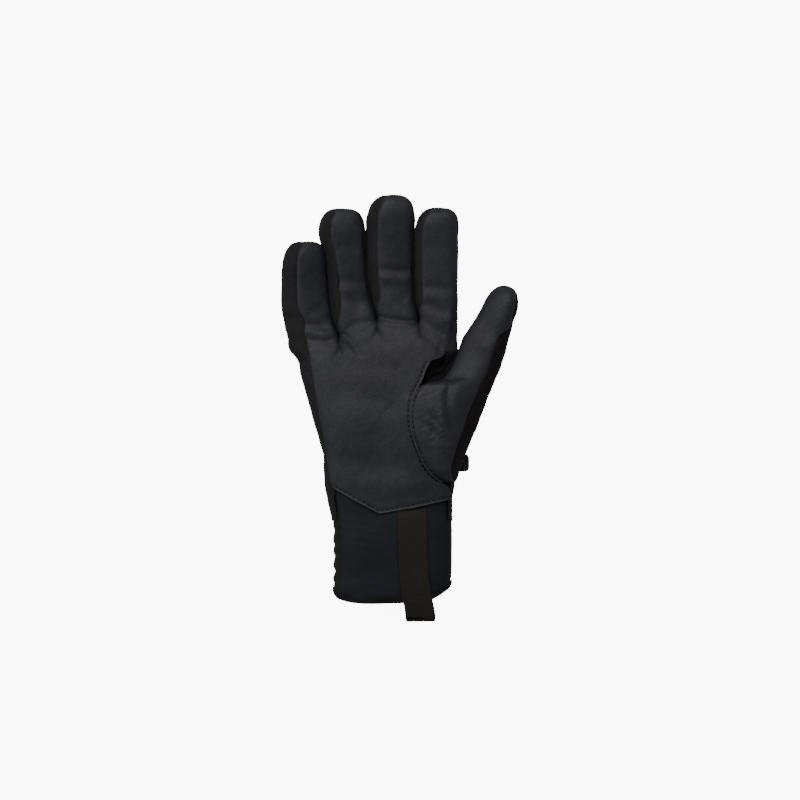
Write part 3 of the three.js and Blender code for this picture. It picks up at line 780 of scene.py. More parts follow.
def front_edges(strip, t):
    """The two edges of a strip of the palm in plan at shares t of the way from wrist to root.

    Each edge keeps a share of the leather's width that goes evenly from its wrist value to its
    crotch value, and its height goes evenly from the wrist line to the crotch.
    """
    roots = list(ROOTS)
    roots[0] = (float(curve(LEFT_SEAM, 48.0)), 47.2)
    roots[4] = (float(curve(RIGHT_EDGE, INDEX_ROOT_Y)), INDEX_ROOT_Y)
    out = []
    for k in (strip, strip + 1):
        share = []
        for x, y in (WRIST_LINE[k], roots[k]):
            left, right = leather_edges(y)
            share.append((x - left) / (right - left))
        y = mix(WRIST_LINE[k][1], roots[k][1], t)
        left, right = leather_edges(y)
        out.append(np.stack([mix(share[0], share[1], t), y], -1))
    return out


def leather_strip(strip, palm_rows=150, across=44):
    """One finger's strip of the leather, from the wrist to the fingertip, as a grid of points.

    In the palm a point lies at the hand's height over its plan position; towards the root that
    height turns into the arch of the finger's section, and beyond it the finger takes over.
    """
    name = ORDER[strip]
    seams = finger_seams(name, 0.0)
    u = shares(across)
    angle = mix(seams[0], seams[1], u)
    root = finger_point(name, angle, 0.0)
    t = shares(palm_rows)[:, None]
    low, high = front_edges(strip, t[:, 0])
    share = (root[:, 0] - root[0, 0]) / (root[-1, 0] - root[0, 0])
    y = mix(low[:, 1:2], high[:, 1:2], share[None, :])
    y_root = root[None, :, 1]
    y = y + (y_root - y[-1:]) * smooth(t)
    f = mix(low[:, 0:1], high[:, 0:1], share[None, :])
    left, right = leather_edges(y)
    x = mix(left, right, f)
    x = x + (root[None, :, 0] - x[-1:]) * smooth((t - 0.6) / 0.4)
    reach = mix(9.0, 20.0, np.sin(np.pi * np.clip(share, 0, 1)).clip(0, 1) ** 0.6)[None, :]
    near = smooth(1 - (y_root - y) / reach)
    arch = root[None, :, 2]
    z = mix(hand_height(x, y), arch, near)
    palm = np.stack([x, y, z], -1)
    along = finger_rows()[1:, None]
    seam = finger_seams(name, along)
    finger = finger_point(name, mix(seam[0], seam[1], u[None, :]), along)
    return palm, finger


def cut_row(name):
    """The share of the way along a finger at which its lower and upper pieces meet."""
    f = FINGERS[name]
    return (f["hinge"] - 13.5) / (f["tip"] - (f["root"][0][1] + f["root"][1][1]) / 2)


def sunk_row(x, y, table, offset, depth=0.3):
    """The shallow trough that a row of stitches pulls, at a sideways offset from one of the edges.

    It is minus depth times exp(-(d/0.7 mm)^2), with d the distance in plan from the row, which is
    the sideways distance divided by sqrt(1 + slope^2).
    """
    slope = curve(table, y + 0.5) - curve(table, y - 0.5)
    d = (x - curve(table, y)) / np.sqrt(1 + slope**2) - offset
    return -depth * np.exp(-((d / 0.7) ** 2))


def palm_relief(x, y, z):
    """The leather's own relief: its grooves, broad slack waves, small puckers and stitch troughs."""
    line = np.array(WRIST_LINE)
    low = np.interp(x, line[:, 0], line[:, 1])
    inside = (y < 32) * (z > 20)
    total = sunk_row(x, y, RIGHT_EDGE, -1.5) * inside - 0.3 * np.exp(-(((y - low - 2.0) / 0.8) ** 2)) * inside
    total = total + 0.2 * ripple(x, y, 46, 3) + 0.05 * ripple(x, y, 11, 5)
    for start, end, width, depth, bow in PALM_FOLDS + FINGER_FOLDS:
        total = total + fold(x, y, start, end, width, depth, bow)
    return total


def make_leather():
    """The palm and the four finger fronts, cut from one skin."""
    skin = Skin()
    for strip, name in enumerate(ORDER):
        palm, finger = leather_strip(strip)
        skin.grid(palm, 0)
        skin.grid(tuck(np.concatenate([palm[-1:], finger])), 10 + strip * 2 + half_labels(name))
    skin.weld()
    skin.push(palm_relief)
    return skin


def tuck(grid, depth=0.75, width=1.1):
    """Pulls a grid's first and last columns in along its normal, so that seams lie in a groove.

    The pull is depth times exp(-(d/width)^2) at d millimetres from the edge, and grows from
    nothing at the first row so that a grid still meets its neighbour there.
    """
    across, along = np.gradient(grid, axis=1), np.gradient(grid, axis=0)
    normal = np.cross(across, along)
    normal /= np.maximum(np.linalg.norm(normal, axis=-1, keepdims=True), 1e-6)
    step = np.linalg.norm(np.diff(grid, axis=1), axis=-1)
    from_first = np.concatenate([np.zeros((len(grid), 1)), np.cumsum(step, axis=1)], axis=1)
    from_last = from_first[:, -1:] - from_first
    pull = np.exp(-((from_first / width) ** 2)) + np.exp(-((from_last / width) ** 2))
    at = shares(len(grid))
    grow = (smooth(at / 0.12) * (1 - 0.9 * smooth((at - 0.86) / 0.1)))[:, None]
    return grid - normal * (depth * grow * pull)[..., None]


def wall_grid(name, side, across=14):
    """The wall of a finger between the leather and the back, on its left (outer) or right (inner) side."""
    rows = finger_rows()[:, None]
    front_left, front_right, back_left, back_right = finger_seams(name, rows)
    u = shares(across)[None, :]
    if side == "outer":
        angle = mix(front_left, back_left, u)
    else:
        angle = mix(back_right - 360, front_right, u)
    return tuck(finger_point(name, angle, rows)[:, ::-1])[:, ::-1]


def back_grid(name, across=40):
    """The back of a finger between its two back seams, as a grid from root to tip."""
    rows = finger_rows()[:, None]
    front_left, _, back_left, back_right = finger_seams(name, rows)
    start = front_left if name == "little" else back_left
    grid = finger_point(name, mix(start, back_right, shares(across)[None, :]), rows)
    return tuck(grid[:, ::-1])[:, ::-1]


def fabric_relief(scale, seed):
    """A relief for slack fabric: soft lumps along the piece and a little fine unevenness."""

    def relief(x, y, z):
        """Two ripples, 16 mm and 6 mm long, times the scale."""
        return scale * (0.5 * ripple(x + z, 1.6 * y, 16, seed) + 0.25 * ripple(x, y + z, 6, seed + 1))

    return relief


def back_panel_grid(rows=150, across=44):
    """The back of the hand in four strips, from the front seam on the left round to the right.

    On each row a strip's points go evenly between two angles of the hand's section, and towards
    the roots they turn into the fingers' own undersides.
    """
    grids = []
    bottom = -72.0
    bottoms_x = [-36.0, -14.0, 5.0, 24.0, 45.0]
    t = shares(rows)[:, None]
    for strip, name in enumerate(ORDER):
        seams = finger_seams(name, 0.0)
        u = shares(across)
        start = seams[0] if name == "little" else 180.0
        root = finger_point(name, mix(start, seams[3], u), 0.0)
        edges = []
        for k in (strip, strip + 1):
            y = mix(bottom, ROOTS[k][1], t[:, 0])
            if k == 0:
                a = hand_angle(curve(LEFT_SEAM, y) + 2.0 * smooth((46 - y) / 6) * smooth((y + 56) / 5), y)
            elif k == 4:
                a = INDEX_BACK_SEAM + 53 * smooth((-41 - y) / 8)
            else:
                a = 360 - hand_angle(mix(bottoms_x[k], ROOTS[k][0], smooth(t[:, 0])), y)
            edges.append((a, y))
        outer = name in ("little", "index")
        share = u if outer else (root[:, 0] - root[0, 0]) / (root[-1, 0] - root[0, 0])
        y = mix(edges[0][1][:, None], edges[1][1][:, None], share[None, :])
        y = y + (root[None, :, 1] - y[-1:]) * smooth((t - 0.5) / 0.5)
        a = mix(edges[0][0][:, None], edges[1][0][:, None], share[None, :])
        x, z = hand_point(a, y)
        near = smooth(1 - (root[None, :, 1] - y) / 16)
        x, z = mix(x, root[None, :, 0], near), mix(z, root[None, :, 2], near)
        if name == "little":
            z = z - 1.1 * np.exp(-((u[None, :] / 0.05) ** 2)) * smooth((46 - y) / 6)
        grids.append(np.stack([x, y, np.maximum(z, 0.1)], -1))
    return grids


def make_back():
    """The back panel with the backs of the fingers, cut from one skin."""
    skin = Skin()
    for strip, (name, grid) in enumerate(zip(ORDER, back_panel_grid())):
        skin.grid(grid, 0, flip=True)
        skin.grid(back_grid(name), 10 + strip * 2 + half_labels(name), flip=True)
    skin.weld()
    return skin


# ---- The thumb ---------------------------------------------------------------------------------

# Along the thumb: the front's left edge, the outline on the right, and the back's left edge.
THUMB_LEFT = [
    (0.00, 43.4, -47.4, 25.5), (0.05, 39.4, -46.9, 30.0), (0.10, 33.6, -43.6, 34.0),
    (0.17, 27.4, -36.4, 36.2), (0.25, 22.5, -25.5, 37.4), (0.33, 18.9, -13.0, 37.9),
    (0.40, 17.8, -2.0, 37.9), (0.47, 20.0, 9.0, 37.0), (0.53, 24.4, 16.0, 35.2),
    (0.59, 31.5, 18.2, 32.8), (0.65, 39.0, 20.4, 29.6), (0.70, 44.4, 28.4, 25.6),
    (0.74, 48.4, 38.4, 21.0), (0.78, 51.6, 46.4, 19.2), (0.82, 54.8, 50.9, 19.0),
]
THUMB_RIGHT = [
    (0.00, 45.6, -48.0, 22.0), (0.05, 48.4, -44.6, 18.5), (0.10, 50.6, -37.6, 18.0),
    (0.17, 53.8, -28.6, 18.0), (0.25, 57.6, -19.6, 18.0), (0.33, 61.4, -10.6, 18.0),
    (0.40, 64.6, -2.0, 18.0), (0.47, 67.6, 5.6, 18.0), (0.53, 70.2, 12.2, 18.0),
    (0.59, 72.8, 18.4, 18.0), (0.65, 75.4, 24.6, 18.0), (0.70, 77.2, 29.6, 18.0),
    (0.74, 78.8, 34.2, 18.2), (0.78, 79.8, 37.4, 18.6), (0.82, 80.6, 40.4, 19.0),
]
THUMB_UNDER = [
    (0.00, 45.0, -47.6, 16.0), (0.05, 44.4, -45.6, 11.5), (0.10, 44.0, -40.0, 9.0),
    (0.25, 44.0, -20.0, 7.5), (0.40, 44.6, 0.0, 7.0), (0.53, 45.4, 16.0, 8.0), (0.65, 46.8, 30.0, 10.0),
    (0.74, 48.6, 40.6, 14.5), (0.78, 51.6, 46.4, 18.0), (0.82, 54.8, 50.9, 19.0),
]
THUMB_FREE = 0.82  # from here on the thumb is a free tube
THUMB_AXIS = ((67.7, 45.65), 22.4, 37.6)  # start of the free tube, its lean, its length
THUMB_HALF = [(0.0, 13.9), (11.0, 12.5), (17.0, 11.6), (23.0, 11.1), (28.0, 10.8), (38.0, 10.4)]
THUMB_SPLIT = 0.80  # where its base and tip pieces meet
THUMB_THICK = 11.6
THUMB_NOSE = 14.5  # length of its rounded tip
THUMB_ROLL = -24.0  # roll of the free tube's section, in degrees


def thumb_section(angle, t):
    """Across and up on the thumb's section, which takes on its roll where the tube begins."""
    return rounded_box(angle, 2.7, THUMB_ROLL * smooth((t - 0.58) / 0.2))


def thumb_sides(t):
    """The thumb's left edge, right edge and back's left edge at shares t of its length."""
    (cx, cy), lean, length = THUMB_AXIS
    lean = math.radians(lean)
    d = np.clip((t - THUMB_FREE) / (1 - THUMB_FREE), 0, 1) * length
    near = np.clip((d - (length - THUMB_NOSE)) / THUMB_NOSE, 0, 1)
    half = curve(THUMB_HALF, d) * (1 - near**2.1) ** (1 / 2.2)
    x, y = cx + d * math.sin(lean), cy + d * math.cos(lean)
    z = 19.0 + 1.6 * d / length
    left = np.stack([x - half * math.cos(lean), y + half * math.sin(lean), z], -1)
    right = np.stack([x + half * math.cos(lean), y - half * math.sin(lean), z], -1)
    free = (t > THUMB_FREE)[..., None]
    return (np.where(free, left, curve(THUMB_LEFT, t)), np.where(free, right, curve(THUMB_RIGHT, t)),
            np.where(free, left, curve(THUMB_UNDER, t)), (1 - near**2.2) ** (1 / 2.2))


def thumb_point(angle, t, front):
    """Positions on the thumb at an angle in degrees and a share t of the way from heel to tip.

    Over the ball of the thumb the front falls from the seam on the palm to the outline as a
    quarter superellipse with a swelling; beyond the web it is a rolled rounded box.
    """
    angle, t = np.broadcast_arrays(np.asarray(angle, float), np.asarray(t, float))
    left, right, under, narrow = thumb_sides(t)
    across, up = thumb_section(angle, t)
    share = np.clip((across + 1) / 2, 0, 1)
    edge = left if front else np.where((up < 0)[..., None], under, left)
    plan = mix(edge, right, share[..., None])
    quarter = np.clip(1 - share**2.3, 0, None) ** (1 / 2.3)
    swell = 4.2 * smooth(t / 0.12) * np.sin(np.pi * share).clip(0, 1) ** 1.2 * (1 - smooth((t - 0.55) / 0.2))
    above = right[..., 2] + (left[..., 2] - right[..., 2] + swell) * quarter
    below = right[..., 2] + (under[..., 2] - right[..., 2] - 0.5 * swell) * quarter
    mound = np.where(up >= 0, above, below)
    tube = (left[..., 2] + right[..., 2]) / 2 + up * THUMB_THICK * narrow
    height = mix(mound, tube, smooth((t - 0.60) / 0.18))
    return np.stack([plan[..., 0], plan[..., 1], np.maximum(height, 1.5)], -1)


# Where the seam between the thumb's leather and its strip lies, as a share of the half width.
THUMB_SEAM = [
    (0.00, 0.70), (0.08, 0.30), (0.16, 0.42), (0.25, 0.53), (0.40, 0.66), (0.53, 0.65), (0.65, 0.58),
    (0.74, 0.50), (0.82, 0.50), (0.87, 0.80), (0.89, 0.93), (0.93, 0.84), (0.97, 0.86), (1.00, 0.90),
]


def thumb_seam(t):
    """The angle at which the seam lies on the rolled section, found on a fine ring of angles."""
    around = np.linspace(-40, 120, 321)
    across, _ = thumb_section(around[None, :], t)
    peak = np.argmax(across, axis=1)
    miss = np.abs(across - curve(THUMB_SEAM, t))
    miss[np.arange(321)[None, :] < peak[:, None]] = 9
    return around[np.argmin(miss, axis=1)][:, None]


THUMB_FOLDS = [
    ((44.5, 20.0), (46.0, -14.0), 3.2, 1.5, -3.0),
    ((40.0, 16.0), (34.0, -20.0), 4.5, 0.8, -2.0),
    ((23.0, 10.5), (39.0, 16.5), 2.0, 0.5, -0.6),
    ((26.0, -8.0), (38.0, -22.0), 2.0, 0.35, 0.5),
    ((28.0, -2.0), (42.0, -16.0), 1.6, 0.3, 0.5),
    ((62.0, 54.0), (80.0, 47.0), 4.5, 0.35, 0.6),
]


def thumb_relief(x, y, z):
    """The thumb leather's slack: long folds up from the ball and fine wrinkles over it."""
    over = np.exp(-(((x - 32) / 13) ** 2) - ((y + 14) / 17) ** 2) * (z > 22)
    total = sunk_row(x, y, RIGHT_EDGE, 1.4) * (y < 16) * (z > 22)
    total = total + 0.22 * ripple(x, y, 22, 11) + over * 0.13 * ripple(x * 0.8, y * 1.3, 4.6, 13, 7)
    for start, end, width, depth, bow in THUMB_FOLDS:
        total = total + fold(x, y, start, end, width, depth, bow) * (z > 20)
    return total


def make_thumb_skin(front):
    """The thumb's leather, or the strip and back that wrap it from the seam round to the left edge."""
    free = 1 - (1 - THUMB_FREE) * (1 - shares(80)) ** 1.5
    t = np.concatenate([np.linspace(0, THUMB_FREE, 130)[:-1], free])
    rows = t[:, None]
    seam = thumb_seam(rows)
    if front:
        grid = thumb_point(mix(180.0, seam, shares(90)[None, :]), rows, True)
    else:
        grid = thumb_point(mix(seam, -180.0, shares(90)[None, :]), rows, False)
    skin = Skin()
    skin.grid(tuck(grid), (t[:-1] >= THUMB_SPLIT).astype(int))
    return skin.weld()


def web_grid(rows=70, across=60):
    """The patch in the fork of the thumb, between the palm's leather and the thumb's own leather.

    Its points go evenly from one edge to the other and sag between them as a half sine wave, with
    wrinkles that fan out from the fork.
    """
    v = shares(rows)[:, None, None]
    u = shares(across)[None, :, None]
    y = mix(11.0, 50.0, v[:, 0, 0])
    x = curve(RIGHT_EDGE, y) - 1.6
    palm = np.stack([x, y, hand_height(x, y) - 1.8], -1)[:, None, :]
    left = curve(THUMB_LEFT, mix(0.50, 0.75, v[:, 0, 0]))
    thumb = (left + np.array([0.6, -2.2, -2.6]))[:, None, :]
    grid = mix(palm, thumb, u)
    fan = np.sin(2 * np.pi * (2.6 * v + 0.8 * u) + 1.8 * np.sin(4 * u + 3 * v))
    fan = 0.5 + 0.5 * fan + 0.4 * np.sin(2 * np.pi * (3.4 * u - 1.2 * v) + 2 * v)
    sag = np.sin(np.pi * u) ** 0.8
    grid[..., 2:] -= sag * (3.0 + 3.0 * v) - 2.1 * sag * fan
    return grid


def index_gusset_grid(rows=60, across=30):
    """The light side panel below the index finger, from under the leather round to the back seam.

    It follows the hand's section from the leather's edge down the side, and close to the finger
    it turns into the finger's own section.
    """
    y = np.linspace(29.0, 59.6, rows)[:, None]
    start, end = hand_angle(np.maximum(curve(RIGHT_EDGE, y) - 1.8, 37.0), y), -29.0
    u = shares(across)[None, :]
    x, z = hand_point(mix(start, end, u), y)
    root = finger_point("index", mix(INDEX_SIDE_SEAM + 6, end, shares(across)), 0.0)
    near = smooth(1 - (INDEX_ROOT_Y - y) / 9)
    x, z = mix(x, root[None, :, 0], near), mix(z, root[None, :, 2], near)
    sunk = 0.15 + 0.75 * (1 - u) ** 3 + 7.0 * smooth((39 - y) / 8) * (1 - u**2)
    return np.stack([x - 0.35, np.broadcast_to(y, x.shape), z - sunk], -1)


# ---- The cuff ----------------------------------------------------------------------------------

# Height along the hand, left edge, right edge, underside, top.
CUFF = [
    (-130, -30.6, 36.5, 6.2, 33.8), (-122, -31.0, 40.0, 5.7, 34.4), (-114, -32.2, 43.4, 5.3, 34.8),
    (-107, -31.6, 44.8, 5.1, 34.7), (-90, -31.9, 44.9, 5.1, 34.8), (-75, -32.0, 44.9, 5.1, 34.3),
    (-66, -33.8, 44.6, 5.9, 33.4), (-57, -35.2, 43.9, 6.4, 33.3), (-42, -36.6, 44.0, 7.0, 33.6),
]
HEM = [
    (0, -114.5), (27, -118.8), (50, -123.6), (86, -125.0), (104, -125.4), (140, -123.9), (165, -121.4),
    (180, -119.4), (225, -120.5), (270, -121.6), (315, -120.0), (360, -114.5),
]
# The binding's section round the hem: up from the hem, and out from the cuff's surface.
HEM_PROFILE = [
    (4.6, 0.1), (4.4, 0.6), (3.8, 0.85), (2.2, 0.95), (0.8, 0.9), (0.1, 0.55), (-0.2, -0.1), (0.0, -1.0),
    (0.6, -1.7), (2.4, -2.1), (4.6, -2.3),
]
CUFF_POWER = 2.7
LINING_IN = 3.2  # how far the lining lies inside the shell
NEOPRENE_SEAM, RIGHT_SIDE_SEAM = 152.0, -14.0  # angles of the cuff's two long seams
STRAP_LEFT = [(-140, 16.4), (-128, 14.2), (-120, 12.2), (-67, 9.1), (-55, 8.4)]
STRAP_WIDE = 19.0


def cuff_point(angle, y, out=0.0):
    """Positions on the cuff's superellipse section at an angle in degrees, out millimetres proud."""
    angle, y = np.broadcast_arrays(np.asarray(angle, float), np.asarray(y, float))
    left, right, low, high = np.moveaxis(curve(CUFF, y), -1, 0)
    across, up = superellipse(angle, CUFF_POWER)
    across, up = across * ((right - left) / 2 + out), up * ((high - low) / 2 + out)
    return np.stack([(left + right) / 2 + across, y, (low + high) / 2 + up], -1)


def cuff_height(x, y, out=0.0):
    """The height of the front of the cuff over a plan position."""
    left, right, low, high = np.moveaxis(curve(CUFF, y), -1, 0)
    across = np.clip(np.abs(2 * x - left - right) / (right - left), 0, 1)
    return (low + high) / 2 + ((high - low) / 2 + out) * (1 - across**CUFF_POWER) ** (1 / CUFF_POWER)


def hem_y(angle):
    """How far down the hem lies at an angle round the cuff."""
    return curve(HEM, np.mod(angle, 360.0))


def cuff_panel(start, end, top, rows, across):
    """A panel of the cuff between two angles, from a top height down to the binding."""
    angle = mix(start, end, shares(across))[None, :]
    y = mix(top, hem_y(angle) + 2.5, shares(rows)[:, None])
    return cuff_point(angle, y)


def neoprene_relief(x, y, z):
    """Smooth neoprene: a low wave 30 mm long and a faint one 7 mm long."""
    return 0.3 * ripple(x, y, 30, 61) + 0.06 * ripple(x, y, 7, 62)


def shirring(x, y, z):
    """The elastic gathers of the cuff's back: a sine wave every 8.5 mm, faded out at the panel's edges."""
    wave = 0.55 * np.sin(2 * np.pi * y / 8.5 + 0.8 * ripple(x + z, y, 14, 63))
    along = smooth((-66 - y) / 8) * smooth((y + 119) / 8)
    around = smooth((29 - z) / 10) * smooth((40 - x) / 8)
    return wave * along * around + 0.2 * ripple(x + z, y, 9, 64)


def inner_point(angle, y):
    """The lining's section: the cuff's, and above the wrist the hand's, a few millimetres further in."""
    angle, y = np.broadcast_arrays(np.asarray(angle, float), np.asarray(y, float))
    share = smooth((y + 66) / 14)[..., None]
    left, right, low, high = np.moveaxis(mix(curve(CUFF, y), curve(HAND, y), share), -1, 0)
    close = np.sqrt(np.clip(1 - np.clip((y + 14) / 22, 0, 1) ** 2, 0, 1))
    across, up = superellipse(angle, 2.4)
    across = across * ((right - left) / 2 - LINING_IN) * close
    up = up * ((high - low) / 2 - LINING_IN) * close
    return np.stack([(left + right) / 2 + across, y, (low + high) / 2 + up], -1)


STRAP_THICK = 1.5
STITCH_LIFT = 0.05
HEM_EDGE = -121.0  # below this height the cuff's section no longer changes under the webbing


def pull_webbing_points():
    """The webbing from under the leather down the cuff, round its free loop and back up inside.

    Its path lies at the cuff's height in front, turns through half a circle of 2.3 mm radius at its
    lowest point and runs straight back. A flat band's section is carried along it, tilted across by
    the slope of the cuff.
    """
    y = np.linspace(-58.0, -134.0, 110)
    x = curve(STRAP_LEFT, y) + STRAP_WIDE / 2
    front = np.stack([x, y, cuff_height(x, np.maximum(y, HEM_EDGE), 1.0) - 2.2 * smooth((y + 69) / 6)], -1)
    front[:, 2] -= 1.0 * smooth((-122 - y) / 14)
    turn, radius = np.radians(np.linspace(0, 180, 15)[1:-1]), 2.3
    depth = front[-1, 2] - radius
    loop = np.stack([x[-1] - 0.3 * turn, y[-1] - radius * np.sin(turn), depth + radius * np.cos(turn)], -1)
    rest = shares(14)
    rise = depth - radius - 0.4 * np.sin(np.pi * rest) - 0.2 * rest
    back = np.stack([x[-1] - 1.0 - 1.6 * rest, mix(y[-1], -118.0, rest), rise], -1)
    path = np.concatenate([front, loop, back])
    tangent = tangents(path)
    low = np.maximum(path[:, 1], HEM_EDGE)
    slope = (cuff_height(path[:, 0] + 8, low) - cuff_height(path[:, 0] - 8, low)) / 16
    across = np.stack([np.ones(len(path)), np.zeros(len(path)), slope], -1)
    across = unit(across - tangent * (across * tangent).sum(1, keepdims=True))
    up = np.cross(across, -tangent)
    up *= -np.sign(up[0, 2])
    return band(path, across, up, flat_profile(STRAP_WIDE, STRAP_THICK))


def wrist_strap_points():
    """The wrist strap: a flat band that follows the back of the hand at its sewn end and then lies flat."""
    along = np.linspace(STRAP_BOX[0][0] - 5, STRAP_BOX[1][0] + 3, 60)
    middle = np.full(60, (STRAP_BOX[0][1] + STRAP_BOX[1][1]) / 2)
    height = mix(hand_height(along, middle, BACK) - 0.9, 1.5, smooth((along + 26) / 16))
    path = np.stack([along, middle, height], -1)
    tangent = tangents(path)
    side = np.tile([0.0, -1.0, 0.0], (60, 1))
    up = np.cross(tangent, side)
    return band(path, side, up * np.sign(up[:, 2:]), flat_profile(22, STRAP_THICK))


def tape_points(name):
    """A strip of hook or loop tape, 18 mm wide, through the middle of its solid's box."""
    low, high = (np.array(corner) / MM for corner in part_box(name))
    middle = (low + high) / 2
    path = np.stack([np.linspace(low[0], high[0], 30), np.full(30, middle[1]), np.full(30, middle[2])], -1)
    side, up = np.tile([0.0, -1.0, 0.0], (30, 1)), np.tile([0.0, 0.0, 1.0], (30, 1))
    return band(path, side, up, flat_profile(18, 1.2))


def grip_points():
    """The moulded tab: a flat band that curves up as t squared, with a round end and raised ribs.

    Its width falls as (1 - s^2.4)^(1/2.4) over the last seventh, and each rib is a bell-shaped
    swelling of its thickness.
    """
    t = shares(70)
    path = np.stack([mix(33.5, TAB_BOX[1][0] - 0.1, t), np.full(70, -34.5), 1.6 + 6.3 * t**2], -1)
    tangent = tangents(path)
    side = np.array([[0.0, -1.0, 0.0]])
    up = np.cross(tangent, side)
    up *= np.sign(up[:, 2:])
    ends = (1 - np.clip((t - 0.86) / 0.14, 0, 1) ** 2.4) ** (1 / 2.4)
    ribs = 1 + 0.45 * np.exp(-(((np.mod(t * 23.0, 3.0) - 1.5) / 0.55) ** 2)) * (t > 0.45) * (t < 0.92)
    shape = flat_profile(11.6, 1.9)[None] * np.stack([0.25 + 0.75 * ends, ends * ribs], -1)[:, None, :]
    return path[:, None] + shape[..., :1] * side[:, None] + shape[..., 1:] * up[:, None]


def cording(name, path, normal, material, slot, radius):
    """A turned edge: a thin round roll along a path, with closed ends."""
    tangent = tangents(path)
    across = unit(np.cross(tangent, normal))
    turn = np.radians(np.arange(0, 360, 45))
    ends = np.sqrt(np.clip(1 - np.abs(np.linspace(-1, 1, len(path))) ** 60, 0, 1))[:, None]
    profile = radius * ends[..., None] * np.stack([np.cos(turn), np.sin(turn)], -1)[None]
    points = (path[:, None] + profile[..., :1] * across[:, None] + profile[..., 1:] * normal[:, None])
    return make_grid(name, points, material, slot, ring=True, closed=True)


def seam_line(table, low, high, offset=0.0):
    """A line in plan along one of the leather's edges, moved sideways by offset, evenly spaced."""
    y = np.linspace(low, high, 900)
    line = np.stack([curve(table, y), y], -1)
    tangent = tangents(line)
    return line + offset * np.stack([tangent[:, 1], -tangent[:, 0]], -1)


def wrist_line(offset=0.0):
    """The lower edge of the palm's leather in plan, moved up the hand by offset."""
    corner = np.array(WRIST_LINE)
    x = np.linspace(corner[0, 0] + 0.6, corner[-1, 0] - 0.3, 400)
    return np.stack([x, np.interp(x, corner[:, 0], corner[:, 1]) + offset], -1)


# ---- Property groups ---------------------------------------------------------------------------


class GloveShellSettings(bpy.types.PropertyGroup):
    """The sizes and colours of the glove's shell."""

    leather_colour: bpy.props.FloatVectorProperty(
        name="Leather colour", description="Colour of the leather in its grain's valleys", size=3,
        subtype="COLOR", default=linear("17171d")[:3], min=0.0, max=1.0)
    leather_worn: bpy.props.FloatVectorProperty(
        name="Worn leather colour", description="Colour of the leather where it is rubbed", size=3,
        subtype="COLOR", default=linear("212128")[:3], min=0.0, max=1.0)
    neoprene_colour: bpy.props.FloatVectorProperty(
        name="Neoprene colour", description="Colour of the cuff's front", size=3, subtype="COLOR",
        default=linear("121218")[:3], min=0.0, max=1.0)
    leather_roughness: bpy.props.FloatProperty(
        name="Leather roughness", description="How dull the leather is", default=0.56, min=0.1, max=1.0)
    stitch_length: bpy.props.FloatProperty(
        name="Stitch length", description="Length of one visible stitch", default=2.6 * MM, unit="LENGTH")


class GloveStageSettings(bpy.types.PropertyGroup):
    """The view and the light."""

    view_width: bpy.props.FloatProperty(
        name="View width", description="Width that the camera takes in at the glove", default=0.52,
        unit="LENGTH")
    light_power: bpy.props.FloatProperty(
        name="Light power", description="Power of the large overhead light", default=11.0, unit="POWER")


def shell_settings(context):
    """The shell's settings in this scene."""
    return context.scene.glove_shell


# ---- The stage, in metres but for the floor's height -------------------------------------------

FLOOR_Z = -0.6  # millimetres below the resting surface, so that nothing cuts into it
FLOOR_GLOW = 9.0
WORLD_STRENGTH = 0.42
TOP_LIGHT, SIDE_LIGHT = (-0.05, 0.75, 0.9), (-0.8, 0.1, 0.6)
LIGHT_AIM = Vector((0.01, 0, 0))
VIEW_CENTRE = (0.01105, 0.0065)
CAMERA_DISTANCE = 3.0


# ---- Operators ---------------------------------------------------------------------------------


class GLOVE_OT_leather(bpy.types.Operator):
    """Makes the leather palm and finger fronts."""

    bl_idname = "glove.leather"
    bl_label = "Leather palm and finger fronts"

    def execute(self, context):
        make_materials(shell_settings(context))
        skin = make_leather()
        MADE["leather"] = skin
        palm = skin.piece("palm", 0, MATERIALS["leather"], "leather")
        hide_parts("palm_panel", "palm_insulation")
        bend(palm, "wrist")
        for strip, name in enumerate(ORDER):
            for half, (part, solid, joint) in enumerate(FINGER_HALVES):
                label = 10 + strip * 2 + half
                piece = skin.piece(f"{name}_front_{part}", label, MATERIALS["leather"], "leather")
                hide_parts(f"{name}_{solid}_front")
                bend(piece, f"{name}_{joint}")
        return {"FINISHED"}


class GLOVE_OT_fabric(bpy.types.Operator):
    """Makes the woven back and the walls of the fingers."""

    bl_idname = "glove.fabric"
    bl_label = "Woven back and finger walls"

    def execute(self, context):
        make_materials(shell_settings(context))
        skin = make_back()
        skin.push(fabric_relief(0.35, 21))
        back = skin.piece("hand_back", 0, MATERIALS["shell"], "shell_fabric")
        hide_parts("back_panel", "back_insulation", "waterproof_insert")
        bend(back, "wrist")
        for strip, name in enumerate(ORDER):
            for half, (part, solid, joint) in enumerate(FINGER_HALVES):
                label = 10 + strip * 2 + half
                piece = skin.piece(f"{name}_back_{part}", label, MATERIALS["shell"], "shell_fabric")
                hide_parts(f"{name}_{solid}_back", f"{name}_{solid}_padding")
                bend(piece, f"{name}_{joint}")
            for side in WALLS[name]:
                self.wall(strip, name, side)
        return {"FINISHED"}

    def wall(self, strip, name, side):
        """Makes one wall of a finger, in two pieces."""
        walls = Skin()
        walls.grid(wall_grid(name, side), half_labels(name), flip=True)
        walls.weld().push(fabric_relief(0.25, 31 + strip))
        for half, (part, solid, joint) in enumerate(FINGER_HALVES):
            piece = walls.piece(f"{name}_{side}_wall_{part}", half, MATERIALS["shell"], "shell_fabric")
            if f"{name}_{solid}_{side}_wall" in frame["nodes"]:
                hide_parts(f"{name}_{solid}_{side}_wall")
            bend(piece, f"{name}_{joint}")


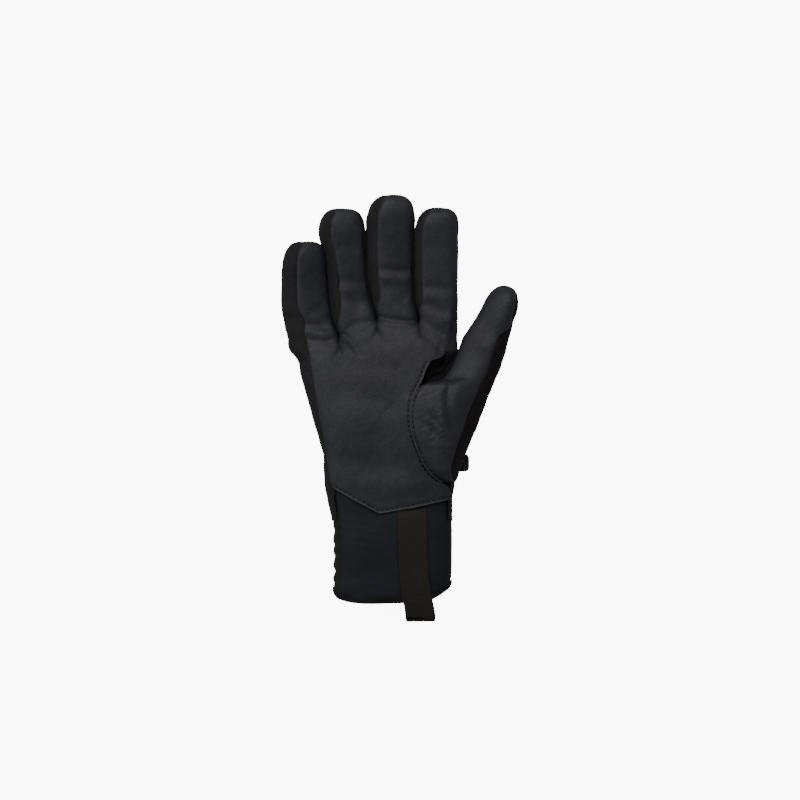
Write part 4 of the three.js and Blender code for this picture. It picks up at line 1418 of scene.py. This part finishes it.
class GLOVE_OT_thumb(bpy.types.Operator):
    """Makes the thumb's leather front and its fabric back."""

    bl_idname = "glove.thumb"
    bl_label = "Thumb"

    def execute(self, context):
        make_materials(shell_settings(context))
        front = make_thumb_skin(True)
        front.push(thumb_relief)
        back = make_thumb_skin(False)
        back.push(fabric_relief(0.3, 41))
        MADE["thumb"] = front
        for skin, side, finish, slot in (
            (front, "front", "leather", "leather"), (back, "back", "suede", "suede_fabric"),
        ):
            for part, label in (("base", 0), ("tip", 1)):
                piece = skin.piece(f"thumb_{side}_{part}", label, MATERIALS[finish], slot)
                extra = [f"thumb_{part}_padding"] if side == "back" else []
                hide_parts(f"thumb_{part}_{side}", *extra)
                if part == "base":
                    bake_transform(piece)
                else:
                    bend(piece, "thumb_end")
        return {"FINISHED"}


class GLOVE_OT_gussets(bpy.types.Operator):
    """Makes the wrinkled web of the thumb and the side panel below the index finger."""

    bl_idname = "glove.gussets"
    bl_label = "Gussets"

    def execute(self, context):
        make_materials(shell_settings(context))
        web = Skin()
        web.grid(web_grid(), 0)
        # The web patch takes the fabric whose colour is darkened as painted shade for the deep fork.
        web = web.weld().piece("thumb_web", 0, MATERIALS["web"], "shell_fabric")
        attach(web, "hand")
        side = Skin()
        side.grid(index_gusset_grid(), 0)
        side.weld().push(fabric_relief(0.25, 51))
        side = side.piece("index_side_gusset", 0, MATERIALS["gusset"], "shell_fabric")
        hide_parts("index_thumb_gusset")
        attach(side, "hand")
        return {"FINISHED"}


class GLOVE_OT_cuff(bpy.types.Operator):
    """Makes the neoprene front and shirred back of the cuff, its binding, lining and label."""

    bl_idname = "glove.cuff"
    bl_label = "Cuff"

    def execute(self, context):
        make_materials(shell_settings(context))
        front = Skin()
        front.grid(tuck(cuff_panel(NEOPRENE_SEAM, RIGHT_SIDE_SEAM, -44.0, 90, 120), -0.5), 0, flip=True)
        front.weld().push(neoprene_relief)
        piece = front.piece("cuff_front", 0, MATERIALS["neoprene"], "neoprene")
        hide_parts("cuff_neoprene")
        bend(piece, "wrist")
        back = Skin()
        back.grid(tuck(cuff_panel(NEOPRENE_SEAM - 6, 366 + RIGHT_SIDE_SEAM, -66.0, 110, 120), 1.4, 2.4), 0)
        back.weld().push(shirring)
        piece = back.piece("cuff_back", 0, MATERIALS["shell"], "shell_fabric")
        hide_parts("cuff_back_panel")
        bend(piece, "wrist")
        angle = np.linspace(0, 360, 181)[None, :-1]
        profile = np.array(HEM_PROFILE)
        rim = cuff_point(angle, hem_y(angle) + profile[:, :1], profile[:, 1:])
        piece = make_grid("hem", rim, MATERIALS["binding"], "shell_fabric", ring=True)
        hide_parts("hem_binding")
        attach(piece, "cuff")
        rows = shares(120)[:, None]
        y = mix(hem_y(angle) + 2.0, 8.0, rows)
        piece = make_grid("lining", inner_point(angle, y), MATERIALS["fleece"], "fleece", ring=True)
        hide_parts("cuff_lining", "hand_lining")
        bend(piece, "wrist")
        low, high = LABEL_BOX
        across, along = np.meshgrid(np.linspace(low[0], high[0], 16), np.linspace(low[1], high[1], 10))
        rise = high[2] - 0.6 * np.cos((across - low[0]) / (high[0] - low[0]) * np.pi) ** 2
        ribbon = np.stack([across, along, rise], -1)
        piece = make_grid("size_label_ribbon", ribbon, MATERIALS["label"], "label")
        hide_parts("size_label")
        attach(piece, "cuff")
        return {"FINISHED"}


class GLOVE_OT_webbing(bpy.types.Operator):
    """Makes the pull strap with its loop, the wrist strap, its tapes and the moulded tab."""

    bl_idname = "glove.webbing"
    bl_label = "Straps"

    def execute(self, context):
        make_materials(shell_settings(context))
        webbing = (MATERIALS["webbing"], "webbing", True, True)
        piece = make_grid("pull_webbing", pull_webbing_points(), *webbing)
        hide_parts("pull_strap", "pull_loop")
        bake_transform(piece)
        strap = make_grid("wrist_strap_band", wrist_strap_points(), *webbing)
        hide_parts("wrist_strap")
        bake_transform(strap)
        for name, body in (("loop_tape", "hand"), ("hook_tape", "strap")):
            points = tape_points(name)
            tape = make_grid(f"{name}_pad", points, MATERIALS["tape"], "fastening_tape", True, True)
            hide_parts(name)
            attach(tape, body)
        tab = make_grid("strap_grip", grip_points(), MATERIALS["tab"], "moulded_tab", True, True)
        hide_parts("strap_tab")
        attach(tab, "strap")
        return {"FINISHED"}


class GLOVE_OT_stitching(bpy.types.Operator):
    """Makes the rows of stitches and the turned edges of the leather."""

    bl_idname = "glove.stitching"
    bl_label = "Stitching and turned edges"

    def execute(self, context):
        settings = shell_settings(context)
        make_materials(settings)
        length = settings.stitch_length / MM
        pitch = length * 1.3
        palm, thumb = MADE["leather"], MADE["thumb"]
        for name, skin, offset, low, high in (
            ("oval_outer_stitches", palm, -1.5, -45.5, 31.5),
            ("oval_inner_stitches", thumb, 1.4, -43.5, 15.5),
        ):
            place, normal = skin.at(respaced(seam_line(RIGHT_EDGE, low, high, offset), pitch), STITCH_LIFT)
            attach(stitches(name, place, normal, length), "hand")
        place, normal = palm.at(respaced(wrist_line(2.0), pitch), STITCH_LIFT)
        bend(stitches("wrist_stitches", place, normal, length), "wrist")
        for name, line, lift, finish, radius in (
            ("oval_edge", seam_line(RIGHT_EDGE, -47.0, 32.0), 0.05, "edge", 0.6),
            ("wrist_edge", wrist_line(0.3), -0.1, "edge", 0.4),
            ("left_edge", seam_line(LEFT_SEAM, -49.5, 45.0), -0.3, "leather", 0.5),
        ):
            place, normal = palm.at(respaced(line, 0.8), lift)
            edge = cording(name, place, normal, MATERIALS[finish], "leather", radius)
            if name == "oval_edge":
                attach(edge, "hand")
            else:
                bend(edge, "wrist")
        return {"FINISHED"}


class GLOVE_OT_stage(bpy.types.Operator):
    """Makes the pale floor, the soft lights and the camera."""

    bl_idname = "glove.stage"
    bl_label = "Floor, lights and camera"

    def execute(self, context):
        make_materials(shell_settings(context))
        settings = context.scene.glove_stage
        edge = np.linspace(-1500, 1500, 3)
        x, y = np.meshgrid(edge, edge)
        floor = np.stack([x, y, np.full_like(x, FLOOR_Z)], -1)
        floor = make_grid("floor", floor, MATERIALS["floor"], "label")
        # The light table is bright to the eye, but its glow stays off the glove's edges.
        floor.visible_diffuse = False
        floor.visible_glossy = False
        world = context.scene.world or bpy.data.worlds.new("studio")
        context.scene.world = world
        world.use_nodes = True
        world.node_tree.nodes["Background"].inputs["Color"].default_value = (1, 1, 1, 1)
        world.node_tree.nodes["Background"].inputs["Strength"].default_value = WORLD_STRENGTH
        for name, place, size, power in (
            ("top_light", TOP_LIGHT, 0.8, settings.light_power * 0.98),
            ("side_light", SIDE_LIGHT, 0.6, settings.light_power * 0.32),
        ):
            data = bpy.data.lights.new(name, "AREA")
            data.size, data.energy = size, power
            lamp = bpy.data.objects.new(name, data)
            context.scene.collection.objects.link(lamp)
            lamp.location = place
            lamp.rotation_euler = (LIGHT_AIM - Vector(place)).to_track_quat("-Z", "Y").to_euler()
        data = bpy.data.cameras.new("camera")
        camera = bpy.data.objects.new("camera", data)
        context.scene.collection.objects.link(camera)
        data.sensor_width = 36.0
        data.lens = data.sensor_width * CAMERA_DISTANCE / settings.view_width
        data.clip_end = 20
        camera.location = (*VIEW_CENTRE, CAMERA_DISTANCE + 0.02)
        context.scene.camera = camera
        return {"FINISHED"}


class GLOVE_PT_panel(bpy.types.Panel):
    """Lists the settings and the operators in the sidebar."""

    bl_label = "Ski Glove"
    bl_idname = "GLOVE_PT_panel"
    bl_space_type = "VIEW_3D"
    bl_region_type = "UI"
    bl_category = "Glove"

    def draw(self, context):
        for group in (context.scene.glove_shell, context.scene.glove_stage):
            for key in group.__annotations__:
                self.layout.prop(group, key)
        for step in STEPS:
            self.layout.operator(step.bl_idname)


MADE = {}  # the skins that the stitching is laid on
STEPS = [
    GLOVE_OT_stage, GLOVE_OT_leather, GLOVE_OT_fabric, GLOVE_OT_thumb, GLOVE_OT_gussets, GLOVE_OT_cuff,
    GLOVE_OT_webbing, GLOVE_OT_stitching,
]
CLASSES = [GloveShellSettings, GloveStageSettings, *STEPS, GLOVE_PT_panel]


def register():
    """Adds the classes and the settings to Blender."""
    for made in CLASSES:
        bpy.utils.register_class(made)
    bpy.types.Scene.glove_shell = bpy.props.PointerProperty(type=GloveShellSettings)
    bpy.types.Scene.glove_stage = bpy.props.PointerProperty(type=GloveStageSettings)


def unregister():
    """Takes the settings and the classes away again."""
    del bpy.types.Scene.glove_stage
    del bpy.types.Scene.glove_shell
    for made in reversed(CLASSES):
        bpy.utils.unregister_class(made)


def main():
    """Makes the whole glove and its stage."""
    register()
    for step in STEPS:
        group, name = step.bl_idname.split(".")
        getattr(getattr(bpy.ops, group), name)()


if __name__ == "__main__":
    main()
